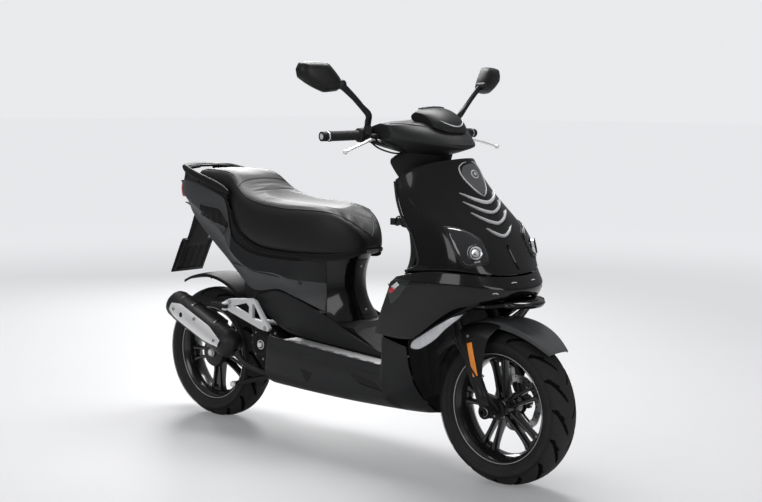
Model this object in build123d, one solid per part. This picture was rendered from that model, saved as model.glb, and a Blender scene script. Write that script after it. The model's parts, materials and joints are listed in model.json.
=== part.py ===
# Step-through 50 cc scooter with an underbone frame, in millimetres.
# +X is forward, +Y left, +Z up. The origin is on the ground, on the centre
# plane, midway between the two axles. Panel tables hold the right-hand half.
from build123d import *
import math
import os

# ---- driving dimensions --------------------------------------------------
WHEELBASE = 1340.0
FRONT_X, REAR_X = WHEELBASE / 2, -WHEELBASE / 2
TYRE_R = 243.0
RAKE = math.radians(25.0)
SIN_RAKE, COS_RAKE = math.sin(RAKE), math.cos(RAKE)
STEER_GROUND_X = 755.0    # where the steering axis meets the ground
FIT = 0.05                # radial play between a shaft and its hole
PANEL_T = 3.0
RIGHT, LEFT = -1, 1       # signs of Y
SIDES = (RIGHT, LEFT)

# Centres of the features that run across the scooter, as (x, z)
FRONT_HUB = (FRONT_X, TYRE_R)
REAR_HUB = (REAR_X, TYRE_R)
CRANK = (-293.0, 333.0)
PULLEY = (-585.0, 272.0)
SWING = (-190.0, 262.0)
STAND = (-278.0, 222.0)
KICK = (-430, 290)
SHOCK_X, SHOCK_Y = -600.0, 120.0
SHOCK_TOP_Z, SHOCK_EYE_Z = 640.0, 375.0
SHOCK_TOP = (SHOCK_X, SHOCK_TOP_Z)
SHOCK_EYE = (SHOCK_X, SHOCK_EYE_Z)

BUILDERS = {}


def part(build):
    """Register a builder; its name is the name of the file."""
    BUILDERS[build.__name__] = build
    return build


def part_pair(build):
    """Register a builder that takes a side, once for _r and once for _l."""
    for side, suffix in ((RIGHT, "_r"), (LEFT, "_l")):
        BUILDERS[build.__name__ + suffix] = lambda side=side: build(side)
    return build


# ---- points --------------------------------------------------------------
def steer(s, ahead=0.0, y=0.0):
    """Point at s along the steering axis and a distance ahead of it."""
    return (STEER_GROUND_X - SIN_RAKE * s + COS_RAKE * ahead, y,
            COS_RAKE * s + SIN_RAKE * ahead)


def polar(centre, r, angle):
    return (centre[0] + r * math.cos(angle), centre[1] + r * math.sin(angle))


def sub(a, b):
    return (a[0] - b[0], a[1] - b[1], a[2] - b[2])


def cross(a, b):
    return (a[1] * b[2] - a[2] * b[1], a[2] * b[0] - a[0] * b[2], a[0] * b[1] - a[1] * b[0])


def length(a):
    return math.sqrt(sum(x * x for x in a))


def unit(a):
    n = length(a) or 1.0
    return (a[0] / n, a[1] / n, a[2] / n)


def along(point, direction, t):
    return tuple(p + d * t for p, d in zip(point, direction))


def mirrored(item):
    """Mirror a point, a row or a grid in the centre plane."""
    if isinstance(item, tuple) and not isinstance(item[0], (tuple, list)):
        return (item[0], -item[1], item[2])
    return [mirrored(x) for x in item]


def to_side(item, side):
    """Points given for the right, on the wanted side."""
    return item if side == RIGHT else mirrored(item)


def span(side, near, far):
    """Y range between two distances from the centre plane."""
    return (near, far) if side == LEFT else (-far, -near)


def full_width(rows):
    """Rows given from the centre to the right edge become full width."""
    return [mirrored(r[:0:-1]) + list(r) for r in rows]


def ring(outline, y):
    """(x, z) outline as a reversed ring at one Y station."""
    return [(x, y, z) for x, z in outline[::-1]]


# ---- solids --------------------------------------------------------------
def rod(start, end, r, bore=0.0):
    d = sub(end, start)
    h = length(d)
    solid = Solid.make_cylinder(r, h, Plane(origin=start, z_dir=d))
    if bore:
        over = 1.0            # the bore runs past both ends
        origin = along(start, unit(d), -over)
        solid = solid - Solid.make_cylinder(bore, h + 2 * over, Plane(origin=origin, z_dir=d))
    return solid


def across(centre, ys, r, bore=0.0):
    """Cylinder along Y about an (x, z) centre."""
    x, z = centre
    return rod((x, ys[0], z), (x, ys[1], z), r, bore)


def box(xs, ys, zs):
    return Solid.make_box(xs[1] - xs[0], ys[1] - ys[0], zs[1] - zs[0],
                          Plane(origin=(xs[0], ys[0], zs[0])))


def ball(centre, r):
    return Solid.make_sphere(r, Plane(origin=centre))


def tube(points, r):
    """Round bar along a polyline, with a ball at each bend."""
    solid = rod(points[0], points[1], r)
    for a, b in zip(points[1:], points[2:]):
        solid = solid + rod(a, b, r)
    for p in points[1:-1]:
        solid = solid + ball(p, r)
    return solid


def plate(outline, ys):
    """(x, z) polygon extruded between two Y stations."""
    wire = Wire.make_polygon([Vector(x, ys[0], z) for x, z in outline], close=True)
    return Solid.extrude(Face(wire), Vector(0, ys[1] - ys[0], 0))


def wedge(centre, angle, inner, outer, ys):
    """Radial plate; inner and outer are (radius, half angle)."""
    corners = ((inner, -1), (outer, -1), (outer, 1), (inner, 1))
    return plate([polar(centre, r, angle + sign * half) for (r, half), sign in corners], ys)


def spin(profile, centre, arc=360.0, start=0.0):
    """Revolve an (r, y) profile about the Y line through an (x, z) centre."""
    a = math.radians(start)
    x, z = centre
    points = [Vector(x + r * math.cos(a), y, z + r * math.sin(a)) for r, y in profile]
    face = Face(Wire.make_polygon(points, close=True))
    return Solid.revolve(face, arc, Axis((x, 0, z), (0, -1, 0)))


def solid_from_triangles(points, triangles):
    faces = []
    for corners in triangles:
        a, b, c = [points[i] for i in corners]
        if length(cross(sub(b, a), sub(c, a))) > 1e-6:
            wire = Wire.make_polygon([Vector(*a), Vector(*b), Vector(*c)], close=True)
            faces.append(Face(wire))
    solid = Solid(Shell(faces))
    # Guards against a folded shell that comes out inside out.
    return solid if solid.volume > 0 else Solid(Shell(list(solid.faces())))


def panel(grid, thickness=PANEL_T):
    """Thin panel: the grid is the outer face, the inner face lies behind it."""
    m, n = len(grid), len(grid[0])
    outer, inner = [], []
    for i in range(m):
        for j in range(n):
            du = sub(grid[min(i + 1, m - 1)][j], grid[max(i - 1, 0)][j])
            dv = sub(grid[i][min(j + 1, n - 1)], grid[i][max(j - 1, 0)])
            outer.append(grid[i][j])
            inner.append(along(grid[i][j], unit(cross(du, dv)), -thickness))
    count = m * n
    triangles = []
    for i in range(m - 1):
        for j in range(n - 1):
            a, b = i * n + j, (i + 1) * n + j
            c, d = b + 1, a + 1
            triangles += [(a, b, c), (a, c, d), (a + count, c + count, b + count),
                          (a + count, d + count, c + count)]
    edge = ([i * n for i in range(m)] + [(m - 1) * n + j for j in range(1, n)]
            + [i * n + n - 1 for i in range(m - 2, -1, -1)] + list(range(n - 2, 0, -1)))
    for k, a in enumerate(edge):
        b = edge[(k + 1) % len(edge)]
        triangles += [(a, b + count, b), (a, a + count, b + count)]
    return solid_from_triangles(outer + inner, triangles)


def skin(rings):
    """Closed body through a row of rings with equal point counts."""
    n = len(rings[0])
    points = [p for r in rings for p in r]
    triangles = []
    for k in range(len(rings) - 1):
        for j in range(n):
            a, b = k * n + j, k * n + (j + 1) % n
            triangles += [(a, b, b + n), (a, b + n, a + n)]
    for k, is_last in ((0, False), (len(rings) - 1, True)):
        points.append(tuple(sum(p[i] for p in rings[k]) / n for i in range(3)))
        centre = len(points) - 1
        for j in range(n):
            a, b = k * n + j, k * n + (j + 1) % n
            triangles.append((centre, a, b) if is_last else (centre, b, a))
    return solid_from_triangles(points, triangles)


def both(solid):
    return [solid, solid.mirror(Plane.XZ)]


def largest(shape):
    return max(shape.solids(), key=lambda s: s.volume)


# ---- wheels --------------------------------------------------------------
AXLE_R = 8.0
AXLE_HOLE_R = AXLE_R + FIT
HUB_HALF = 40
REAR_SHAFT_R = 10
SPOKE_PAIRS = 5
SPOKE_HALF_W = 7
# (r, y)
TYRE_HALF = [(165, -44), (174, -44), (180, -58), (200, -64), (222, -60), (236, -42), (243, -15)]
RIM_PROFILE = [
    (156, -48), (173.4, -48), (173.4, -44.1), (164.9, -44.1), (164.9, 44.1), (173.4, 44.1),
    (173.4, 48), (156, 48), (156, 30), (150, 20), (150, -20), (156, -30)]


def tyre(hub):
    return spin(TYRE_HALF + [(r, -y) for r, y in reversed(TYRE_HALF)], hub)


def rim(hub, hub_left, bore):
    """Rim with a hub and five pairs of flat spokes."""
    solid = spin(RIM_PROFILE, hub) + across(hub, (-HUB_HALF, hub_left), 32)
    for k in range(SPOKE_PAIRS):
        middle = 90 + 360 / SPOKE_PAIRS * k
        for sign in (-1, 1):
            x0, z0 = polar(hub, 24, math.radians(middle + sign * 14))
            x1, z1 = polar(hub, 153, math.radians(middle + sign * 11))
            dx, dz = x1 - x0, z1 - z0
            run = math.hypot(dx, dz)
            nx, nz = -dz / run * SPOKE_HALF_W, dx / run * SPOKE_HALF_W
            solid = solid + plate([(x0 - nx, z0 - nz), (x1 - nx, z1 - nz),
                                   (x1 + nx, z1 + nz), (x0 + nx, z0 + nz)], (-13, 13))
    return solid - across(hub, (-HUB_HALF - 1, hub_left + 1), bore)


@part
def front_tyre():
    return tyre(FRONT_HUB)


@part
def rear_tyre():
    return tyre(REAR_HUB)


@part
def front_rim():
    """Rim, two bearings in the hub and the spacer tube between them."""
    bearing_r = 20
    return [rim(FRONT_HUB, 54, bearing_r),
            across(FRONT_HUB, (28, HUB_HALF), bearing_r, AXLE_HOLE_R),
            across(FRONT_HUB, (-HUB_HALF, -28), bearing_r, AXLE_HOLE_R),
            across(FRONT_HUB, (-27.9, 27.9), 11, AXLE_HOLE_R)]


@part
def rear_rim():
    return [rim(REAR_HUB, 66, REAR_SHAFT_R), across(REAR_HUB, (-46, 84), REAR_SHAFT_R)]


@part
def front_disc():
    """Brake ring joined to its carrier by six arms."""
    disc = across(FRONT_HUB, (58, 62), 92) - across(FRONT_HUB, (57, 63), 60)
    carrier = across(FRONT_HUB, (54.05, 62), 46) - across(FRONT_HUB, (53, 63), 24)
    for k in range(6):
        carrier = carrier + wedge(FRONT_HUB, math.radians(60 * k), (40, .2), (64, .1), (58, 62))
    return disc + carrier


# ---- fork, sliding part --------------------------------------------------
LEG_Y = 95.0
LEG_R = 19.0
STANCHION_R = 15.0


def leg_point(t, y):
    """Point at t up a fork leg from the front axle."""
    return (FRONT_X - SIN_RAKE * t, y, TYRE_R + COS_RAKE * t)


@part
def fork_legs():
    legs = []
    for side in SIDES:
        y = side * LEG_Y
        leg = (rod(leg_point(-14, y), leg_point(250, y), LEG_R)
               - rod(leg_point(20, y), leg_point(260, y), STANCHION_R + FIT))
        leg = leg + across(FRONT_HUB, (y - 17, y + 17), 22)
        legs.append(leg - across(FRONT_HUB, (y - 20, y + 20), AXLE_HOLE_R))
    axle_half, head_half, spacer_r = 113, 123, 12
    axle = across(FRONT_HUB, (-axle_half, axle_half), AXLE_R)
    for side in SIDES:
        axle = axle + across(FRONT_HUB, (side * axle_half, side * head_half), 13)
    axle = axle + across(FRONT_HUB, (-76.5, -40.3), spacer_r, AXLE_R)
    axle = axle + across(FRONT_HUB, (40.3, 76.5), spacer_r)
    return [*legs, axle]


@part
def front_mudguard():
    """Trimmed guard with one loose strip outside each fork leg."""
    profile = [(180, -66), (180, -69.5), (262, -69.5), (276, -45), (280, 0), (276, 45),
               (262, 69.5), (180, 69.5), (180, 66), (258, 66), (272, 43), (276, 0),
               (272, -43), (258, -66)]
    x = FRONT_X
    wide = (-100, 100)
    guard = spin(profile, FRONT_HUB, 106, 40)
    guard = guard - box((x - 400, x + 400), wide, (0, 330))
    guard = guard - box((x + 60, x + 400), wide, (0, 395))
    guard = guard - box((x - 400, x - 90), wide, (0, 380))
    strip = [(604, 446), (622, 452), (648, 354), (630, 349)]
    return [guard, *[plate(strip, span(side, 113.2, 119)) for side in SIDES]]


@part
def front_caliper():
    """Block with a slot for the disc."""
    return (box((596, 640), (47, 73.5), (296, 352)) - box((590, 645), (57, 63), (280, 360))
            - across(FRONT_HUB, (40, 75), 52))


# ---- steering ------------------------------------------------------------
LEG_AHEAD = 25.7             # fork legs ahead of the steering axis
YOKE_S, YOKE_T = 680, 24     # underside along the axis, thickness
BAR_R = 11
BAR_HOLE_R = BAR_R + FIT
CLAMP = (268, 1050)
# Right half of the handlebar, from the tip to the clamp
BAR = [(231, -365, 1074), (259, -190, 1077), (266, -110, 1058), (CLAMP[0], -45, CLAMP[1])]
BAR_PATH = BAR + mirrored(BAR[::-1])
GRIP_DIRECTION = unit(sub(BAR[0], BAR[1]))
GRIP_START, GRIP_END, GRIP_R = 38, 157, 16.5

LEVER_PIVOT = (294, -206)    # (x, y)
LEVER_PIN_R = 3
LEVER_Z = (1060, 1068)
MIRROR_BASE = (272, -210)    # (x, y)
MIRROR_BALL = (278, -342, 1232)


def on_bar(t, side=RIGHT):
    """Point at t outboard along the straight grip section."""
    return to_side(along(BAR[1], GRIP_DIRECTION, t), side)


def grip_rod(t0, t1, r, side, bore=0.0):
    return rod(on_bar(t0, side), on_bar(t1, side), r, bore)


def upright(xy, zs, r, side):
    """Vertical cylinder at an (x, y) given for the right."""
    return rod(to_side((*xy, zs[0]), side), to_side((*xy, zs[1]), side), r)


@part
def steering_stem():
    """Stem, fork yoke and bar clamp in one, with two loose stanchions."""
    stem = rod(steer(705), steer(1136), 14)
    yoke = rod(steer(678), steer(706), 26)
    for side in SIDES:
        y = side * LEG_Y
        yoke = yoke + rod(steer(YOKE_S, LEG_AHEAD, y),
                          steer(YOKE_S + YOKE_T, LEG_AHEAD, y), 25)
    plane = Plane(origin=steer(YOKE_S), x_dir=(COS_RAKE, 0, SIN_RAKE),
                  z_dir=(-SIN_RAKE, 0, COS_RAKE))
    outline = Polygon((-20, -60), (28, -100), (46, -95), (46, 95), (28, 100), (-20, 60),
                      (-26, 0), align=None)
    yoke = yoke + Solid.extrude(plane.from_local_coords(outline).face(),
                                Vector(-SIN_RAKE * YOKE_T, 0, COS_RAKE * YOKE_T))
    for side in SIDES:
        y = side * LEG_Y
        yoke = yoke - rod(steer(670, LEG_AHEAD, y), steer(712, LEG_AHEAD, y), STANCHION_R + FIT)
    stem = stem + yoke + rod(steer(1120), steer(1176), 24)
    stem = stem - across(CLAMP, (-60, 60), BAR_HOLE_R)
    return [stem, *[rod(leg_point(82, side * LEG_Y), leg_point(448, side * LEG_Y), STANCHION_R)
                    for side in SIDES]]


@part
def handlebar():
    """Bar with both end caps, and the left grip."""
    bar = tube(BAR_PATH, BAR_R)
    for side in SIDES:
        bar = bar + grip_rod(159, 184, 15, side)
    return [bar, grip_rod(GRIP_START, GRIP_END, GRIP_R, LEFT, BAR_HOLE_R)]


@part
def throttle_grip():
    return grip_rod(GRIP_START, GRIP_END, GRIP_R, RIGHT, BAR_R + 0.06)


@part
def control_housings():
    """Sleeve on the bar, lever fork with its pin, and mirror base, per side."""
    housings = []
    for side in SIDES:
        ys = span(side, 194, 222)
        body = grip_rod(4, 36, 22, side)
        body = body + box((262, 281), ys, (1054, 1074))
        body = body + box((270, 306), ys, (LEVER_Z[1] + 0.1, 1074))
        body = body + box((270, 306), ys, (1054, LEVER_Z[0] - 0.1))
        body = body + upright(LEVER_PIVOT, (1056, 1072), LEVER_PIN_R, side)
        body = body + upright(MIRROR_BASE, (1080, 1106), 11, side)
        housings.append(body - grip_rod(0, 40, BAR_HOLE_R, side))
    return housings


@part_pair
def brake_lever(side):
    path = [(297, -214, 1064), (312, -262, 1056), (326, -330, 1040), (332, -372, 1030)]
    lever = upright(LEVER_PIVOT, LEVER_Z, 9, side)
    lever = lever + tube(to_side(path, side), 5) + ball(to_side((332, -374, 1029), side), 8)
    # flatten the root so that it fits the fork
    ys = span(side, 196, 222.5)
    lever = lever - box((250, 400), ys, (LEVER_Z[1], 1080))
    lever = lever - box((250, 400), ys, (1040, LEVER_Z[0]))
    return lever - upright(LEVER_PIVOT, (1050, 1078), LEVER_PIN_R + FIT, side)


@part_pair
def mirror_stem(side):
    path = [(*MIRROR_BASE, 1116), (292, -228, 1142), (285, -300, 1200), MIRROR_BALL]
    return (upright(MIRROR_BASE, (1106.5, 1122), 10, side) + tube(to_side(path, side), 7)
            + ball(to_side(MIRROR_BALL, side), 9))


@part_pair
def mirror_head(side):
    """Pentagonal housing with its flat face to the rear."""
    origin_x, origin_y = 276, -349
    out_x, out_y = -0.259, -0.966     # outboard direction; forward is at right angles
    outline = [(2, 1240), (40, 1292), (126, 1290), (130, 1256), (45, 1214)]   # (outboard, z)
    mid_u, mid_z = 75, 1258

    def point(u, z, forward):
        return to_side((origin_x + out_x * u - forward * out_y,
                        origin_y + out_y * u + forward * out_x, z), side)

    rings = []
    for scale, forward in ((0.96, -14), (1.0, -8), (0.95, 6), (0.7, 20), (0.4, 26)):
        rings.append([point(mid_u + (u - mid_u) * scale, mid_z + (z - mid_z) * scale, forward)
                      for u, z in outline])
    if side == LEFT:
        rings = [r[::-1] for r in rings]
    return skin(rings) - ball(to_side(MIRROR_BALL, side), 16)


# (x, z) outlines of the handlebar cover, by distance from the centre plane
COVER_SECTIONS = {
    0: [(391, 1006), (509, 1036), (470, 1085), (400, 1120),
        (300, 1124), (250, 1085), (250, 1030), (320, 1010)],
    80: [(375, 1014), (470, 1047), (442, 1085), (390, 1112),
         (300, 1120), (246, 1090), (246, 1040), (315, 1018)],
    145: [(340, 1035), (400, 1062), (392, 1085), (360, 1112),
          (300, 1118), (246, 1098), (242, 1050), (290, 1036)],
    184: [(310, 1052), (345, 1070), (345, 1088), (335, 1108),
          (300, 1113), (250, 1102), (242, 1068), (270, 1050)],
}


def cover_body(scale):
    centre_x, centre_z = 350, 1065
    rings = []
    for y in (-184, -145, -80, 0, 80, 145, 184):
        outline = [(centre_x + (x - centre_x) * scale, centre_z + (z - centre_z) * scale)
                   for x, z in COVER_SECTIONS[abs(y)]]
        rings.append(ring(outline, y * scale))
    return skin(rings)


@part
def handlebar_cover():
    """Hollow cover, cleared for the bar, the stem and both control sleeves."""
    cover = cover_body(1.0) - cover_body(0.93)
    cover = cover - tube(BAR_PATH, BAR_R + 2) - rod(steer(1010), steer(1180), 26)
    for side in SIDES:
        cover = cover - grip_rod(-30, 10, 24, side)
    return largest(cover)


@part
def instrument_pod():
    end = [(338, 1129), (396, 1126), (392, 1142), (372, 1152), (340, 1142)]
    middle = [(332, 1130), (412, 1127), (404, 1150), (378, 1166), (334, 1152)]
    return skin([ring(end, -64), ring(middle, -30), ring(middle, 30), ring(end, 64)])


# ---- frame ---------------------------------------------------------------
HEAD_BOTTOM, HEAD_TOP = 722, 900     # along the steering axis
HEAD_BORE = 22
# Nodes of the right-hand side tube, front to back
FOOT_FRONT = (366, -75, 290)
FOOT_BACK = (-128, -75, 290)
RISE = (-128, -104, 470)
SEAT_FRONT = (-330, -112, 596)
SEAT_BACK = (-590, -96, 690)
TAIL_END = (-735, -52, 800)


@part
def frame():
    """Welded frame and the two steering bearings in the head tube."""
    body = (rod(steer(HEAD_BOTTOM), steer(HEAD_TOP), 28)
            - rod(steer(HEAD_BOTTOM - 12), steer(HEAD_TOP + 10), HEAD_BORE))
    body = body + tube([steer(760, -34), (384, 0, 570), (366, 0, 500), (366, 0, 292)], 16)
    body = body - rod(steer(HEAD_BOTTOM), steer(HEAD_TOP), HEAD_BORE)
    body = body + across((366, 290), (-78, 78), 14)
    side_tube = [FOOT_FRONT, FOOT_BACK, RISE, SEAT_FRONT, SEAT_BACK, TAIL_END]
    pivot_plate = [(-118, 302), (-118, 276), (-190, 242), (-210, 250), (-212, 274), (-190, 284)]
    footpeg_stay = [(-310, -112, 582), (-335, -138, 486)]
    for side in SIDES:
        body = body + tube(to_side(side_tube, side), 12)
        body = body + plate(pivot_plate, span(side, 64, 72))
        body = body + tube(to_side(footpeg_stay, side), 9)
    for node, r in ((FOOT_BACK, 12), (SEAT_FRONT, 12), (SEAT_BACK, 10), (TAIL_END, 12)):
        body = body + rod(node, mirrored(node), r)
    body = body + across(SWING, (-72, 72), 8)
    # shock absorber bracket and pin, left side
    body = body + plate([(-612, 690), (-588, 690), (-588, 630), (-612, 630)], (97, 105))
    body = body + across(SHOCK_TOP, (97, 133), 6)
    return [body, rod(steer(723), steer(740), HEAD_BORE, 14.05),
            rod(steer(882), steer(899), HEAD_BORE, 14.05)]


# ---- front panels --------------------------------------------------------
# Grids of (x, y, z). Rows of SHIELD, WING, TOWER and INNER run from the centre
# to the right edge.
SHIELD = [
    [(505, 0, 1008), (493, -50, 1002), (452, -100, 984), (400, -145, 960), (354, -170, 936)],
    [(530, 0, 965), (517, -58, 958), (478, -112, 938), (425, -158, 908), (378, -184, 876)],
    [(562, 0, 912), (552, -64, 906), (520, -125, 890), (468, -174, 860), (412, -197, 826)],
    [(592, 0, 862), (584, -70, 858), (562, -134, 848), (520, -186, 828), (450, -204, 786)],
    [(622, 0, 816), (616, -76, 813), (600, -140, 810), (566, -190, 800), (476, -210, 745)],
    [(652, 0, 770), (648, -80, 768), (636, -145, 766), (596, -196, 756), (492, -214, 705)],
    [(688, 0, 715), (680, -84, 714), (662, -150, 710), (612, -200, 706), (486, -218, 684)],
    [(722, 0, 662), (710, -86, 664), (672, -152, 672), (606, -204, 682), (446, -222, 668)],
]
WING = [
    [(725, 0, 656), (712, -87, 658), (673, -155, 666),
     (606, -207, 676), (500, -224, 670), (412, -226, 648)],
    [(752, 0, 620), (736, -92, 622), (684, -162, 632),
     (608, -220, 640), (500, -238, 640), (398, -240, 630)],
    [(748, 0, 604), (730, -94, 596), (676, -160, 590),
     (600, -212, 592), (488, -234, 590), (376, -238, 580)],
    [(735, 0, 600), (716, -94, 586), (654, -162, 566),
     (572, -200, 540), (470, -226, 525), (346, -234, 520)],
    [(724, 0, 598), (702, -94, 580), (640, -160, 558),
     (500, -206, 470), (445, -216, 446), (320, -226, 460)],
]
INNER = [
    [(292, 0, 893), (300, -70, 897), (327, -122, 912), (362, -158, 926)],
    [(318, 0, 840), (326, -75, 840), (354, -134, 845), (400, -176, 850)],
    [(345, 0, 770), (352, -80, 770), (387, -148, 775), (452, -196, 778)],
    [(355, 0, 700), (362, -85, 700), (397, -152, 700), (484, -205, 702)],
    [(352, 0, 655), (360, -90, 655), (385, -160, 650), (424, -212, 646)],
    [(345, 0, 560), (350, -90, 560), (358, -160, 560), (372, -218, 560)],
    [(338, 0, 470), (340, -90, 470), (338, -160, 470), (334, -212, 470)],
    [(337, 0, 372), (337, -90, 370), (337, -150, 368), (337, -198, 366)],
]
INDICATOR = [
    [(638, -166, 552), (618, -182, 545), (596, -194, 536)],
    [(572, -196, 498), (548, -208, 492), (524, -210, 486)],
    [(508, -206, 432), (474, -214, 428), (448, -214, 436)],
]
# z, half width, x at the centre, x at the edge
ARCH = [(500, 196, 392, 440), (420, 196, 392, 432), (360, 176, 393, 428),
        (300, 148, 395, 424), (240, 94, 398, 415), (188, 20, 416, 417)]
HEADLIGHT = [(572, -184, 806), (640, -112, 776), (676, -108, 700), (640, -176, 694)]
HEADLIGHT_NORMAL = unit((0.80, -0.55, 0.22))
TRIM_GAP = 8             # nose trim ahead of the shield


def headlight_ring(scale, d):
    """Right headlight outline, scaled and moved d along its normal."""
    centre = tuple(sum(p[i] for p in HEADLIGHT) / 4 for i in range(3))
    return [tuple(centre[i] + (p[i] - centre[i]) * scale + HEADLIGHT_NORMAL[i] * d
                  for i in range(3)) for p in HEADLIGHT]


@part
def front_shield():
    right_hole, left_hole = both(skin([headlight_ring(1.06, -70), headlight_ring(1.06, 60)]))
    return largest(panel(full_width(SHIELD)) - right_hole - left_hole)


@part
def headlights():
    return both(skin([headlight_ring(0.55, -62), headlight_ring(0.98, -22),
                      headlight_ring(1.0, -6)]))


def shield_x(y, z):
    """x of the right half of the shield at a given y and z."""
    tol = 1e-6
    for upper, lower in zip(SHIELD, SHIELD[1:]):
        for j in range(len(upper) - 1):
            a = upper[j]
            for b, c in ((lower[j], lower[j + 1]), (lower[j + 1], upper[j + 1])):
                den = (b[1] - a[1]) * (c[2] - a[2]) - (c[1] - a[1]) * (b[2] - a[2])
                if abs(den) < 1e-9:
                    continue
                u = ((y - a[1]) * (c[2] - a[2]) - (c[1] - a[1]) * (z - a[2])) / den
                v = ((b[1] - a[1]) * (z - a[2]) - (y - a[1]) * (b[2] - a[2])) / den
                if u >= -tol and v >= -tol and u + v <= 1 + tol:
                    return a[0] + u * (b[0] - a[0]) + v * (c[0] - a[0])
    raise ValueError("point is off the shield")


def louver(z0, rise, half_width):
    """U-shaped fin on the nose: low at the centre, high at the ends."""
    height, steps = 11, 4
    rows = []
    for top in (1, 0):
        row = []
        for k in range(steps + 1):
            y = -half_width * k / steps
            z = z0 + rise * (k / steps) ** 1.6 + top * height * (1 - 0.6 * (k / steps))
            row.append((shield_x(y, z) + TRIM_GAP - 3.0 * top, y, z + 2.0))
        rows.append(row)
    return panel(full_width(rows))


@part
def nose_trim():
    fins = [louver(*fin) for fin in ((868, 44, 84), (838, 40, 80), (806, 34, 74), (764, 16, 40))]
    badge = []
    for z, half_width in ((1000, 30), (962, 52), (925, 58), (896, 34)):
        ys = [-half_width * k / 2 for k in range(3)]
        badge.append([(shield_x(y, z) + TRIM_GAP, y, z) for y in ys])
    return [*fins, panel(full_width(badge))]


@part
def front_indicators():
    return both(panel([[(x + 2, y - 4, z - 10) for x, y, z in row] for row in INDICATOR], 4.0))


@part
def wing_panels():
    """Wrap-around panel and the lip at its front."""
    rings = []
    for y in (-88, -50, 0, 50, 88):
        sweep_back = abs(y) * 0.28
        rings.append(ring([(700, 560), (800 - sweep_back, 578), (796 - sweep_back, 586),
                           (706, 572)], y))
    return [panel(full_width(WING)), skin(rings)]


@part
def inner_legshield():
    return panel(full_width(INNER))


@part
def wheel_arch():
    rows = [[(centre_x + (edge_x - centre_x) * f * f, -half_width * f, z)
             for f in (0, .35, .7, 1.0)] for z, half_width, centre_x, edge_x in ARCH]
    return panel(full_width(rows))


@part
def glovebox_door():
    door = box((330, 336), (-72, 72), (590, 690))
    return door.rotate(Axis((333, 0, 590), (0, 1, 0)), 6).translate(Vector(-2, 0, 0))


@part
def key_barrel():
    return rod((300, -98, 801), (324, -98, 806), 13) + box((270, 304), (-100, -96), (789, 811))


# ---- floor and side panels -----------------------------------------------
SKIRT = [
    [(-246, -200, 384), (-246, -200, 330), (-246, -190, 262), (-246, -160, 218), (-246, -120, 201)],
    [(-140, -203, 381), (-140, -203, 320), (-140, -195, 252), (-140, -160, 211), (-140, -118, 197)],
    [(0, -203, 373), (0, -204, 310), (0, -196, 246), (0, -160, 207), (0, -112, 193)],
    [(150, -203, 364), (150, -204, 300), (150, -190, 241), (150, -150, 203), (150, -100, 189)],
    [(328, -203, 354), (328, -203, 296), (328, -180, 241), (328, -130, 205), (328, -60, 184)],
    [(342, -217, 450), (342, -208, 335), (342, -182, 262), (342, -126, 210), (342, -56, 184)],
    [(390, -215, 438), (390, -202, 342), (390, -172, 272), (390, -112, 216), (390, -42, 183)],
    [(440, -213, 428), (432, -191, 366), (428, -162, 305), (418, -105, 240), (414, -28, 186)],
]
# x, half width, z of the belly panel
BELLY = [(-244, 114, 201), (0, 106, 193), (150, 94, 189), (328, 54, 184), (388, 38, 183),
         (410, 20, 185)]
# x, z of the crest of the centre tunnel
TUNNEL = [(331, 366), (230, 392), (140, 436), (122, 452), (0, 452), (-108, 452)]
MID = [
    [(-306, -150, 506), (-300, -150, 498), (-292, -150, 490)],
    [(-250, -151, 524), (-246, -150, 485), (-240, -148, 452)],
    [(-205, -152, 540), (-203, -149, 470), (-198, -137, 392)],
    [(-100, -148, 507), (-100, -145, 445), (-100, -132, 383)],
    [(0, -140, 468), (0, -138, 420), (0, -130, 376)],
    [(100, -132, 428), (100, -130, 398), (100, -126, 370)],
    [(200, -126, 390), (200, -124, 376), (200, -122, 364)],
    [(300, -121, 364), (300, -121, 360), (300, -120, 356)],
]


def floor_z(x):
    return 372.0 - 28.0 * (x + 140.0) / 475.0


@part
def floorboard():
    rows = []
    for x, top in TUNNEL:
        floor = floor_z(x)
        rows.append([(x, 0, top), (x, -92, top - 4), (x, -112, top - 16),
                     (x, -116, floor + 2), (x, -120, floor), (x, -198, floor)])
    return panel(full_width(rows))


@part
def tread_strips():
    return both(panel([[(x, y, floor_z(x) + 5) for y in (-126, -197)]
                       for x in (330, 150, 0, -134)], 4.0))


@part
def side_skirts():
    belly = panel([[(x, w, z), (x, 0, z), (x, -w, z)] for x, w, z in BELLY])
    return [both(panel(SKIRT)), belly]


@part
def mid_panels():
    return both(panel(MID))


# ---- seat and tail -------------------------------------------------------
TOWER = [
    [(118, 0, 650), (106, -80, 650), (78, -118, 650), (40, -134, 650), (4, -139, 650)],
    [(112, 0, 600), (100, -82, 600), (74, -122, 600), (40, -138, 600), (4, -143, 600)],
    [(120, 0, 530), (108, -84, 530), (80, -124, 530), (42, -140, 530), (4, -144, 530)],
    [(130, 0, 460), (118, -84, 460), (90, -122, 462), (50, -136, 466), (4, -140, 476)],
]
TAIL = [
    [(-800, -76, 884), (-786, -84, 846), (-757, -74, 796)],
    [(-750, -100, 886), (-742, -116, 835), (-722, -100, 780)],
    [(-680, -122, 884), (-672, -138, 812), (-660, -124, 748)],
    [(-600, -134, 868), (-592, -151, 780), (-584, -138, 700)],
    [(-520, -145, 850), (-515, -157, 740), (-508, -146, 652)],
    [(-462, -150, 832), (-460, -160, 700), (-456, -149, 618)],
    [(-450, -153, 700), (-446, -160, 660), (-440, -150, 604)],
    [(-390, -156, 668), (-386, -162, 620), (-380, -152, 560)],
    [(-320, -158, 648), (-320, -163, 590), (-320, -154, 512)],
    [(-200, -158, 643), (-200, -163, 600), (-200, -155, 548)],
    [(-100, -152, 643), (-100, -158, 580), (-100, -151, 514)],
    [(-4, -138, 645), (-2, -147, 570), (0, -142, 474)],
]
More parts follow.
